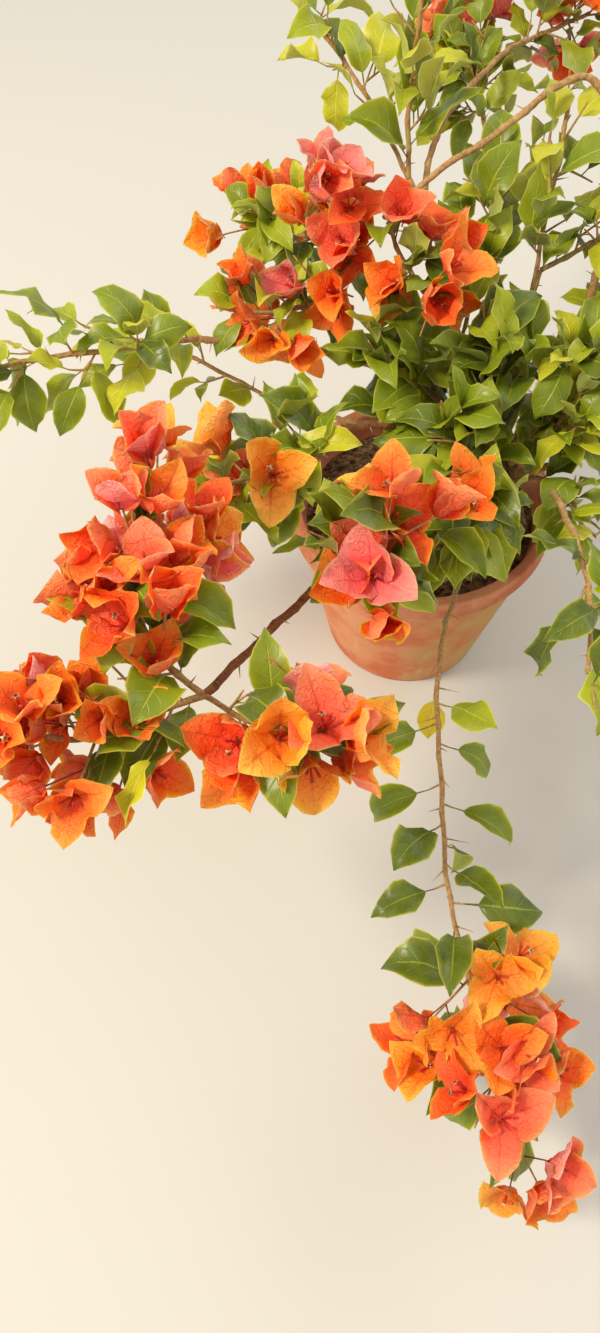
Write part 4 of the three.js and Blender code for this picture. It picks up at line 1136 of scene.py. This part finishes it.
grown_twigs, grown_stalks = [], []
leaf_table, blossom_table = np.empty((0, 9)), np.empty((0, 7))
for number, (name, spray) in enumerate(SPRAYS.items()):
    random = np.random.default_rng(spray["seed"])
    twigs, blooms = main_twigs(name, random)
    blooming, leafy = twigs.some(blooms), twigs.some(~blooms)
    blossoms, stalks = blossoms_of(name, number, blooming, random)
    blossom_table = np.concatenate([blossom_table, blossoms])
    candidates = [leaves_at_tips(leafy)]
    grown_twigs.append(twigs)
    grown_stalks.append(stalks)
    finer = leafy.some(slice(0))
    if spray.get("side_leaves", True):
        places, size = (DENSE_PLACES, DENSE_SIZE) if name in DENSE else (FINER_PLACES, FINER_SIZE)
        finer = finer_twigs(leafy, places, size, FINER_SPREAD, random)
        finer = finer.some(in_own_space(number, finer.at(1)[0]))
        candidates.append(leaves_at_tips(finer))
        candidates += leaves_at(leafy, LEAF_PLACES, random)
        candidates += leaves_at(finer, FINER_LEAF_PLACES, random)
        candidates.append(leaves_on_stem(stems[name], random))
    candidates += leaves_at(blooming, BLOOM_LEAF_PLACES, random)
    leaves = leaves_of(name, number, candidates, blossom_table, leaf_table, random)
    leaf_table = np.concatenate([leaf_table, leaves])
    grown_twigs.append(bearing(finer, (*FINER_LEAF_PLACES, 1), leaves))
    print(f"{name}: {len(leaves)} leaves, {len(blossoms)} blossoms")

print(len(leaf_table), "leaves and", len(blossom_table), "blossoms")

# %% [markdown]
# ## Stems, twigs, stalks and thorns
# These are all thin tapering tubes. Young shoots are brown with a green cast, and the blossom's stalks are
# thin and dark red. At many joints stands a straight thorn. Curves with a bevel would do for a few of them.
# For hundreds, one array holds the corners of all, and they are joined into one piece.

# %% Stems, twigs and stalks
STEM_SIDES = 8
STEM_TIP_RADIUS = 2.1
TWIG_RADIUS = (1.25 * MM, 0.8 * MM)
STALK_RADIUS = (0.8 * MM, 0.6 * MM)
STEM_SEED = 50
TWIG_SIDES = 6
TWIG_STEPS = 8
STALK_SIDES = 5
STALK_STEPS = 6


def merged(groups):
    """Several groups of shoots as one."""
    return Shoots(*joined((group.root, group.way, group.length, group.sag) for group in groups))


def shoot_surface(shoots, radius, sides, steps):
    """The corners of tapering tubes round the shoots' paths."""
    rings = tubes(shoots.line(steps), np.linspace(*radius, steps), sides)
    return rings.reshape(len(shoots.root), -1, 3), skin(steps, sides)


twig_finish = bark_finish("young_bark", "#94693c", "#c39a5e", "#a7a04c", 3 * MM)
stalk_finish = Finish("stalk_skin", 0.6).paint("#7a2a1c")
shoots = Piece()
for number, (name, spray) in enumerate(SPRAYS.items()):
    radius = (spray["radius"], STEM_TIP_RADIUS)
    shoots.add(*limb_surface(stems[name], radius, STEM_SIDES, 0, STEM_SEED + number))
shoots.add(*shoot_surface(merged(grown_twigs), TWIG_RADIUS, TWIG_SIDES, TWIG_STEPS))
shoots.add(*shoot_surface(merged(grown_stalks), STALK_RADIUS, STALK_SIDES, STALK_STEPS), finish=1)
print(sum(len(group.root) for group in grown_twigs), "twigs")

# %% Thorns
THORN_LENGTH = (8 * MM, 16 * MM)
DROP_THORN_LENGTH = (16 * MM, 26 * MM)
THORN_RADIUS = (0.95 * MM, 0.12 * MM)
THORN_GAP = 27 * MM
THORN_SPREAD = math.radians(75)
THORN_TURN = 2.0
THORN_SAG = -0.03
THORN_SEED = 7
LEAST_THORNS = 2
THORN_STEPS = 4

thorns = []
for name, path in [*stems.items(), *((bough, paths[bough]) for bough in BOUGHS)]:
    random = np.random.default_rng(len(thorns) + THORN_SEED)
    count = max(LEAST_THORNS, int(path_length(path) / THORN_GAP))
    root, ahead = point_on(path, (np.arange(count) + 0.5) / count)
    way = turned_away(ahead, TURN_PER_TWIG * np.arange(count) + THORN_TURN, THORN_SPREAD, np.zeros(count))
    length = random.uniform(*(DROP_THORN_LENGTH if name == "front_drop" else THORN_LENGTH), count)
    thorns.append(Shoots(root, way, length, np.full(count, THORN_SAG)))
shoots.add(*shoot_surface(merged(thorns), THORN_RADIUS, STALK_SIDES, THORN_STEPS))
print(sum(len(group.root) for group in thorns), "thorns")

spray_nodes = ["spray_" + name for name in SPRAYS]
shoots.make("twigs", [twig_finish, stalk_finish], spray_nodes)

# %% [markdown]
# ## Leaves
# A bougainvillea leaf is a thin oval blade with a drawn-out tip on a short stalk. It is folded along its
# midrib, arches over towards the tip and waves at its margin. One flat plane with a picture of a leaf is
# the usual shortcut, but a cut-out needs transparency. Here the blade is a flattened tube of ten rings from
# stalk to tip. Each ring has eight corners, one on either margin, three above and three below, so the
# blade is closed and has a rim.

# %% A blade's corners
ACROSS = np.array([1, 0.56, 0, -0.56, -1, -0.56, 0, 0.56])
LAYER = np.array([0, 1, 1, 1, 0, -1, -1, -1])
HALVES_APART = 2.1
WAVE_POWER = 1.5
CRINKLES = ((11, 4, 3), (7, -3, 5))


def blades(root, ahead, face, kind, form):
    """Corners of many blades at once. kind gives each ring's place along the midrib, its share of the
    width and its thickness, and form gives each blade its sizes and bends. The midrib climbs by the sine
    and runs on by the cosine of a pitch that changes along it. Across the midrib each half rises by the
    fold's sine, bends by the square of the distance, and waves along the margin. A twist turns each ring a
    little further than the last. The arrays run over the blades, the rings and the corners of a ring."""
    along, outline, thick = (np.array(part)[:, None] for part in kind)
    part = {name: values[:, None, None] for name, values in form.items()}
    side = np.cross(face, ahead)
    pitch = part["pitch"] + part["bend"] * along + part["hook"] * along**2
    middle = (pitch[:, 1:] + pitch[:, :-1]) / 2
    step = np.diff(along, axis=0) * part["length"]
    run, climb = (np.pad(np.cumsum(share * step, axis=1), ((0, 0), (1, 0), (0, 0)))
                  for share in (np.cos(middle), np.sin(middle)))
    half = part["width"] / 2 * outline
    phase = part["phase"]
    wave = np.sin(part["waves"] * along * 2 * math.pi + phase + HALVES_APART * np.sign(ACROSS))
    crinkle = np.prod([np.sin(a * along + b * ACROSS + c * phase) for a, b, c in CRINKLES], axis=0)
    out = half * ACROSS * np.cos(part["fold"])
    rise = half * (np.abs(ACROSS) * np.sin(part["fold"]) + part["curl"] * ACROSS**2
                   + part["wave"] * np.abs(ACROSS) ** WAVE_POWER * wave + part["crinkle"] * crinkle)
    twist = part["twist"] * along
    out, rise = out * np.cos(twist) - rise * np.sin(twist), out * np.sin(twist) + rise * np.cos(twist)
    rise = rise + LAYER * thick / 2
    forward = run - rise * np.sin(pitch)
    up = climb + rise * np.cos(pitch)
    points = root[:, None, None] + forward[..., None] * ahead[:, None, None]
    points = points + out[..., None] * side[:, None, None] + up[..., None] * face[:, None, None]
    return points.reshape(len(root), -1, 3)


# %% A blade's faces and maps
UPPER_FACES = 4
SPLIT_FORWARD = np.array([False, False, True, True, False, False, True, True])


def blade_faces(rings):
    """The faces of a blade, and for each whether it is an upper one. Each four corners are split into two
    triangles, forward and outward from the midrib and alike on both sides, so that a bent blade's sides
    can't cross."""
    sides = len(ACROSS)
    corner = np.arange(rings * sides).reshape(rings, sides)
    beside = np.roll(corner, -1, axis=1)
    low, low_next, high, high_next = corner[:-1], beside[:-1], corner[1:], beside[1:]
    first = np.where(SPLIT_FORWARD[:, None], np.stack([low, low_next, high_next], -1),
                     np.stack([low, low_next, high], -1))
    second = np.where(SPLIT_FORWARD[:, None], np.stack([low, high_next, high], -1),
                      np.stack([low_next, high_next, high], -1))
    walls = np.stack([first, second], axis=2)
    loops = np.concatenate([walls.ravel(), corner[0, ::-1], corner[-1]])
    sizes = np.array([3] * walls[..., 0].size + [sides, sides])
    upper = np.tile(np.repeat(np.arange(sides) < UPPER_FACES, 2), rings - 1)
    return (loops, sizes), np.concatenate([upper, [True, True]])


def in_tiles(places, faces, tile, tiles=4, border=0.04):
    """The blade's places shrunk into one of the tiles of a square for each face, so that all blades of
    one finish share one tile."""
    of_loop = np.repeat(tile, faces[1], axis=1)
    corner = np.stack([of_loop % tiles, of_loop // tiles], axis=-1)
    return (corner + border + (1 - 2 * border) * places[None]) / tiles


def make_blades(name, points, along, finish_of, finishes, nodes):
    """Joins blades into one piece. One map holds each face corner's place on its blade, across it and
    along it, both from 0 to 1. Another has these places in the finish's tile. The margin's edges, where
    the upper and the under side meet, are sharp."""
    faces = blade_faces(len(along))[0]
    places = np.stack(np.broadcast_arrays((ACROSS + 1) / 2, np.clip(along, 0, 1)[:, None]), axis=-1)
    places = places.reshape(-1, 2)[faces[0]]
    piece = Piece()
    piece.add(
        points, faces, finish_of,
        {"blade": np.broadcast_to(places, (len(points), *places.shape)),
         "OFBake": in_tiles(places, faces, finish_of)},
        np.tile(LAYER == 0, len(along)))
    piece.make(name, finishes, nodes)


# %% Leaf finishes
LEAF_TINTS = {
    "leaf_young": ("#b2b01c", "#dcd656", 0.42),
    "leaf_fresh": ("#8f9814", "#cbc840", 0.4),
    "leaf_green": ("#6f7e10", "#b4b836", 0.38),
    "leaf_deep": ("#505f0c", "#9aa230", 0.36),
    "leaf_yellow": ("#e3c61f", "#efe070", 0.45),
    "leaf_under": ("#98a04c", "#c6cb80", 0.6),
    "leaf_under_young": ("#b3b750", "#dadb88", 0.6)}
LEAF_GLOW = 0.4
LEAF_GLOW_DEPTH = (0.8, 0.9, 0.1)
LEAF_GLOSS = 0.42


def from_midrib(across):
    """How far a place lies from the midrib: 0 on it and 1 at the margin."""
    return abs(across - 0.5) * 2


def leaf_finish(name, base, pale, roughness):
    """A leaf's colour with a pale midrib, faint side veins that run forward from it, and a pale margin that
    is a painted highlight along the rim.
    """
    leaf = Finish(name, roughness, LEAF_GLOW, LEAF_GLOW_DEPTH)
    leaf.shader.inputs["Specular IOR Level"].default_value = LEAF_GLOSS
    across, along, _ = leaf.place("blade")
    off = from_midrib(across)
    midrib = off.between(0.07, 0.015)
    veins = abs((along * 6 - off * 1.5).fold(0.5)).between(0.1, 0.0) * off.between(1.0, 0.3)
    # Painted highlight: a pale band along the margin, as if light caught the leaf's rim.
    margin = off.between(0.9, 0.97)
    mottle = leaf.noise(20 * MM, 3).between(0.35, 0.7)
    shade = leaf.blend(base, pale, midrib * 0.6 + veins * 0.18 + margin * 0.8 + mottle * 0.15)
    leaf.bump(1 - (midrib + veins * 0.6) + leaf.noise(6 * MM, 2) * 0.6, 0.7 * MM, 0.7)
    return leaf.paint(shade)


leaf_finishes = [leaf_finish(name, *parts) for name, parts in LEAF_TINTS.items()]
tint_number = {name: number for number, name in enumerate(LEAF_TINTS)}
print(len(leaf_finishes), "leaf finishes")

# %% Leaf shapes
LEAF_ALONG = (-0.17, 0, 0.06, 0.16, 0.29, 0.44, 0.6, 0.75, 0.89, 1)
LEAF_OUTLINE = (0.035, 0.05, 0.36, 0.69, 0.92, 1, 0.89, 0.61, 0.24, 0.012)
LEAF_THICK = np.array([1.1, 1.0, 0.7, 0.5, 0.42, 0.4, 0.36, 0.34, 0.32, 0.3]) * MM
LEAF_ROLL = 0.9
LEAF_FORM = {
    "width": (0.44, 0.62), "pitch": (0.1, 0.5), "bend": (0.2, 1.1), "hook": (-1.2, 0.3),
    "fold": (0.2, 0.7), "curl": (-0.55, 0.1), "wave": (0.16, 0.5), "waves": (1.0, 2.2),
    "phase": (0, 2 * math.pi), "twist": (-0.7, 0.7), "crinkle": (0.03, 0.1)}
LEAF_SEED = 77
YELLOW_SPOT = np.array([-12, -290, 310]) * MM
YELLOW_SIZE = 0.66


def drawn(random, ranges, count):
    """For each named range, count numbers drawn evenly between its ends."""
    return {name: random.uniform(*ends, count) for name, ends in ranges.items()}


random = np.random.default_rng(LEAF_SEED)
leaf_count = len(leaf_table)
root, ahead = leaf_table[:, :3], leaf_table[:, 3:6]
spray_of, length, side_leaf = leaf_table[:, 6].astype(int), leaf_table[:, 7], leaf_table[:, 8]
yellow = np.argmin(np.linalg.norm(root - YELLOW_SPOT, axis=1))
length[yellow] *= YELLOW_SIZE
level, rise = square_to(ahead)
roll = LEAF_ROLL * random.uniform(-0.5, 0.5, leaf_count)[:, None]
face = unit(rise * np.cos(roll) - level * np.sin(roll))
leaf_form = drawn(random, LEAF_FORM, leaf_count)
leaf_form["length"] = length / (1 - LEAF_ALONG[0])
leaf_form["width"] *= length
leaf_form["bend"] *= -1
leaf_points = blades(root, ahead, face, (LEAF_ALONG, LEAF_OUTLINE, LEAF_THICK), leaf_form)
print("leaves from", round(length.min() / MM), "to", round(length.max() / MM), "mm long")

# %% Leaf colours
AGE_STEPS = (0.13, 0.42, 0.8)
AGE_OF_TIP = -0.25
AGE = {
    "front_drop": 0.5, "centre_front": 0.15, "centre_left": 0.15, "centre_top": 0.15, "rim_front": 0.2,
    "front_centre": 0.25, "left_low": 0.2, "left_high": 0.15, "left_near": 0.2, "right_front": 0.35,
    "top_upright": -0.1, "top_upright_left": -0.1, "under_arch": -0.1, "right_upright": -0.05}

age = random.uniform(0, 1, leaf_count) + np.where(side_leaf > 0, 0, AGE_OF_TIP)
age = age + np.array([AGE.get(name, 0) for name in SPRAYS])[spray_of]
tint = np.digitize(age, AGE_STEPS)
tint[yellow] = tint_number["leaf_yellow"]
is_young = tint == tint_number["leaf_young"]
under = np.where(is_young, tint_number["leaf_under_young"], tint_number["leaf_under"])
is_upper = blade_faces(len(LEAF_ALONG))[1]
leaf_finish_of = np.where(is_upper, tint[:, None], under[:, None])
print("leaves of each tint:", np.bincount(tint))

# %% Leaves joined
PIECE_LEAVES = 1200

for start in range(0, leaf_count, PIECE_LEAVES):
    part = slice(start, start + PIECE_LEAVES)
    make_blades(
        f"leaves_{start // PIECE_LEAVES + 1}", leaf_points[part], LEAF_ALONG,
        leaf_finish_of[part], leaf_finishes, spray_nodes)

# %% [markdown]
# ## Blossoms
# What looks like a petal is a bract, a coloured leaf. Three of them stand round three slim tube flowers,
# one at the foot of each. They are thin as paper, broadly heart-shaped with a drawn-out tip, keeled along
# a dark midrib, and crinkled between fine veins. They use the same blade as the leaves, with a broader
# outline and no stalk.

# %% Bract finishes
BRACT_TINTS = {
    "bract_orange": ("#ff660a", "#ff8e22", "#d4320a"),
    "bract_amber": ("#ff8812", "#ffac38", "#e0560c"),
    "bract_flame": ("#fa4c08", "#ff6e18", "#c02a08"),
    "bract_coral": ("#fa5e38", "#ff8658", "#d03a2c"),
    "bract_salmon": ("#f46e68", "#f88e80", "#c43c4c"),
    "bract_back": ("#f4683a", "#f88a54", "#b83420"),
    "bract_back_amber": ("#ff8634", "#ffa85a", "#cc4c1c"),
    "bract_back_salmon": ("#f07e74", "#f6a29a", "#bc4248")}
BACK_OF = ("bract_back", "bract_back_amber", "bract_back", "bract_back_salmon", "bract_back_salmon")
PAPER_ROUGHNESS = 0.6
PAPER_GLOW = 0.6
PAPER_GLOW_DEPTH = (1.0, 0.4, 0.1)


def bract_finish(name, base, tip, vein):
    """A papery colour, paler towards the tip and redder in the throat, with a dark midrib and a net of
    fine wandering veins. Creases lie where a soft noise passes through its middle value."""
    paper = Finish(name, PAPER_ROUGHNESS, PAPER_GLOW, PAPER_GLOW_DEPTH)
    across, along, _ = paper.place("blade")
    off = from_midrib(across)
    wander = paper.noise(8 * MM, 3) * 0.8
    midrib = off.between(0.07, 0.01) * along.between(1.0, 0.4)
    forward = (along * 7 - off * 2.6 + wander).fold(0.5).between(0.08, 0.0)
    net = (along * 9 + off * 5 + wander).fold(0.5).between(0.07, 0.0) * 0.5
    veins = (forward + net) * off.between(1.05, 0.1)
    creases = abs(paper.noise(9 * MM, 2) - 0.5).between(0.07, 0.0)
    shade = paper.blend(base, tip, along.between(0.3, 1.0))
    shade = paper.blend(shade, vein, midrib * 0.6 + veins * 0.28 + along.between(0.5, 0.0) * 0.4)
    paper.bump(veins * 0.4 + midrib * 0.5 + creases, 0.8 * MM, 0.7)
    return paper.paint(shade)


bract_finishes = [bract_finish(name, *parts) for name, parts in BRACT_TINTS.items()]
bract_number = {name: number for number, name in enumerate(BRACT_TINTS)}
print(len(bract_finishes), "bract finishes")

# %% How each blossom stands
SIZE_RANGE = (0.88, 1.1)
OPENING = (0.32, 0.9)
OPENING_OF = {"front_drop": (0.6, 1.25), "left_near": (0.45, 1.0), "left_high": (0.26, 0.85)}
TONES = (0.42, 0.17, 0.24, 0.13, 0.04)
TONES_OF = {
    "top_centre": (0.2, 0.12, 0.16, 0.34, 0.18), "top_left_high": (0.36, 0.2, 0.16, 0.2, 0.08),
    "left_near": (0.32, 0.36, 0.06, 0.26, 0), "front_drop": (0.38, 0.22, 0.14, 0.22, 0.04),
    "left_low": (0.46, 0.14, 0.28, 0.12, 0), "left_high": (0.44, 0.12, 0.26, 0.13, 0.05)}
SALMON_SPOT = np.array([-85, -287, 526]) * MM
SALMON_SIZE = 1.15
BLOSSOM_SEED = 78


def dealt(random, count, shares):
    """A number for each of count things, dealt out at random by the shares."""
    return random.choice(len(shares), count, p=np.array(shares) / sum(shares))


random = np.random.default_rng(BLOSSOM_SEED)
centre, axis = blossom_table[:, :3], blossom_table[:, 3:6]
blossom_count = len(centre)
first_turn = random.uniform(0, 2 * math.pi, blossom_count)
scale = random.uniform(*SIZE_RANGE, blossom_count)
opening, tone = np.zeros(blossom_count), np.zeros(blossom_count, int)
for number, name in enumerate(SPRAYS):
    own = blossom_table[:, 6] == number
    opening[own] = random.uniform(*OPENING_OF.get(name, OPENING), own.sum())
    tone[own] = dealt(random, own.sum(), TONES_OF.get(name, TONES))
    scale[own] *= SIZE_OF.get(name, 1)
salmon = np.argmin(np.linalg.norm(centre - SALMON_SPOT, axis=1))
tone[salmon], scale[salmon] = bract_number["bract_salmon"], SALMON_SIZE
print("blossoms of each tone:", np.bincount(tone))

# %% Bract shapes
BRACT_ALONG = (0, 0.05, 0.14, 0.27, 0.42, 0.58, 0.73, 0.86, 0.95, 1)
BRACT_OUTLINE = (0.28, 0.6, 0.85, 0.99, 1, 0.92, 0.73, 0.45, 0.19, 0.012)
BRACT_THICK = np.full(len(BRACT_ALONG), 0.3 * MM)
BRACT_WIDTH = 0.84
BRACT_FORM = {
    "length": (0.92, 1.06), "width": (0.9, 1.1), "pitch": (-0.35, 0), "bend": (0.2, 1.1),
    "hook": (-1.2, 0), "fold": (0.05, 0.4), "curl": (-0.1, 0.45), "wave": (0.1, 0.3),
    "waves": (0.9, 2.2), "phase": (0, 2 * math.pi), "twist": (-0.5, 0.5), "crinkle": (0.1, 0.26)}
BRACTS = 3
TURN_RANGE = (-0.15, 0.15)
LEAN_RANGE = (-0.14, 0.14)
HUB_RADIUS = 1.6 * MM


def round_axis(axis, turn):
    """The direction square to each axis at the given turn round it."""
    level, rise = square_to(axis)
    return level * np.cos(turn)[:, None] + rise * np.sin(turn)[:, None]


def bract_batch(number):
    """Points of every blossom's bract of one number: it leans out from the axis by the opening."""
    turn = first_turn + 2 * math.pi * number / BRACTS + random.uniform(*TURN_RANGE, blossom_count)
    out = round_axis(axis, turn)
    lean = (opening + random.uniform(*LEAN_RANGE, blossom_count))[:, None]
    ahead = axis * np.cos(lean) + out * np.sin(lean)
    face = axis * np.sin(lean) - out * np.cos(lean)
    form = drawn(random, BRACT_FORM, blossom_count)
    form["length"] *= BRACT_LENGTH * scale
    form["width"] *= BRACT_LENGTH * BRACT_WIDTH * scale
    return blades(centre + HUB_RADIUS * out, ahead, face, (BRACT_ALONG, BRACT_OUTLINE, BRACT_THICK), form)


bract_points = np.concatenate([bract_batch(number) for number in range(BRACTS)])
inner = np.tile(tone, BRACTS)
back = np.array([bract_number[name] for name in BACK_OF])[inner]
is_inner = blade_faces(len(BRACT_ALONG))[1]
bract_finish_of = np.where(is_inner, inner[:, None], back[:, None])
blossom_nodes = ["spray_" + name for name, spray in SPRAYS.items() if "bloom_from" in spray]
make_blades("bracts", bract_points, BRACT_ALONG, bract_finish_of, bract_finishes, blossom_nodes)

# %% Tube flowers
TUBE_LENGTH = (14 * MM, 19 * MM)
TUBE_RADII = np.array([0.8, 1.25, 0.95, 0.8, 1.1, 1.25]) * MM
TUBE_SIDES = 5
TUBE_SPREAD = 0.35
STAR_RADIUS = 3.4 * MM
STAR_POINTS = 5
STAR_NOTCH = 0.5
STAR_THROAT = 0.3
STAR_HEIGHT = 1 * MM
OPEN_SHARE = 0.12


def stars(top, ahead):
    """Corners of five-pointed stars across the given directions: a small ring below, a large one above.
    Every second corner lies further in."""
    level, rise = square_to(ahead)
    point = np.arange(2 * STAR_POINTS)
    reach = np.where(point % 2, STAR_NOTCH, 1) * STAR_RADIUS
    turn = math.pi * point / STAR_POINTS
    star = level[:, None] * (reach * np.cos(turn))[:, None] + rise[:, None] * (reach * np.sin(turn))[:, None]
    return np.concatenate(
        [top[:, None] + STAR_THROAT * star, top[:, None] + star + STAR_HEIGHT * ahead[:, None]], axis=1)


flowers = Piece()
for number in range(BRACTS):
    way = unit(axis + TUBE_SPREAD * round_axis(axis, first_turn + 2 * math.pi * number / BRACTS))
    length = random.uniform(*TUBE_LENGTH, blossom_count) * scale
    flower = Shoots(centre, way, length, np.zeros(blossom_count))
    rings = tubes(flower.line(len(TUBE_RADII)), TUBE_RADII, TUBE_SIDES)
    flowers.add(rings.reshape(blossom_count, -1, 3), skin(len(TUBE_RADII), TUBE_SIDES))
    opened = random.uniform(0, 1, blossom_count) < OPEN_SHARE
    flowers.add(stars(*flower.some(opened).at(1)), skin(2, 2 * STAR_POINTS), finish=1)
flower_finishes = [Finish("flower_tube", 0.6).paint("#b5341c"), Finish("flower_star", 0.6).paint("#fbe9a6")]
flowers.make("flower_tubes", flower_finishes, blossom_nodes)

# %% [markdown]
# ## Floor, light and camera
# The plant stands on a plain pale floor. A small warm lamp high on the left, a little in front, gives the
# clear light and shade of the photo's sun. A wide, cooler and weaker one on the right, behind the plant,
# and a pale sky open the shadows. The camera looks steeply down over the front of the plant.

# %% Stage
FLOOR_SIZE = 8.0
FLOOR_GAP = 0.5 * MM
LAMPS = {
    "key": {"place": (-2.0, -0.9, 3.0), "target": (0, 0, 0.35), "size": 0.7, "power": 104,
            "tint": (1.0, 0.92, 0.76)},
    "fill": {"place": (2.4, 1.6, 2.4), "target": (0, 0, 0.3), "size": 2.4, "power": 40,
             "tint": (0.93, 0.96, 1.0)}}
SKY_TINT = (1.0, 0.97, 0.92, 1)
SKY_STRENGTH = 0.85

bpy.ops.mesh.primitive_plane_add(size=FLOOR_SIZE, location=(0, 0, -FLOOR_GAP))
floor = bpy.context.object
floor.name = "floor"
floor.data.materials.append(Finish("floor", 0.9).paint("#c9c5bc"))


def lamp(name, place, target, size, power, tint):
    """A square soft lamp at a place, turned to face the target."""
    data = bpy.data.lights.new(name, "AREA")
    data.size, data.energy, data.color = size, power, tint
    made = bpy.data.objects.new(name, data)
    way = np.array(target) - np.array(place)
    made.location = place
    made.rotation_euler = (math.atan2(math.hypot(way[0], way[1]), -way[2]), 0, math.atan2(-way[0], way[1]))
    bpy.context.scene.collection.objects.link(made)


for name, values in LAMPS.items():
    lamp(name, **values)
world = bpy.data.worlds.new("studio")
world.use_nodes = True
sky = world.node_tree.nodes["Background"].inputs
sky["Color"].default_value = SKY_TINT
sky["Strength"].default_value = SKY_STRENGTH
bpy.context.scene.world = world
print(len(LAMPS), "lamps")

# %% Camera
CAMERA_PLACE = (-0.137, -0.738, 1.115)
CAMERA_PITCH = math.radians(59.37)
LENS_MM = 26
SENSOR_MM = 34.6
NEAREST = 10 * MM

camera_data = bpy.data.cameras.new("camera")
camera_data.sensor_width = SENSOR_MM
camera_data.lens = LENS_MM
camera_data.clip_start = NEAREST
camera = bpy.data.objects.new("camera", camera_data)
camera.location = CAMERA_PLACE
camera.rotation_euler = (math.pi / 2 - CAMERA_PITCH, 0, 0)
bpy.context.scene.collection.objects.link(camera)
bpy.context.scene.camera = camera
bpy.context.scene.view_settings.view_transform = "Standard"
print("camera at", CAMERA_PLACE)
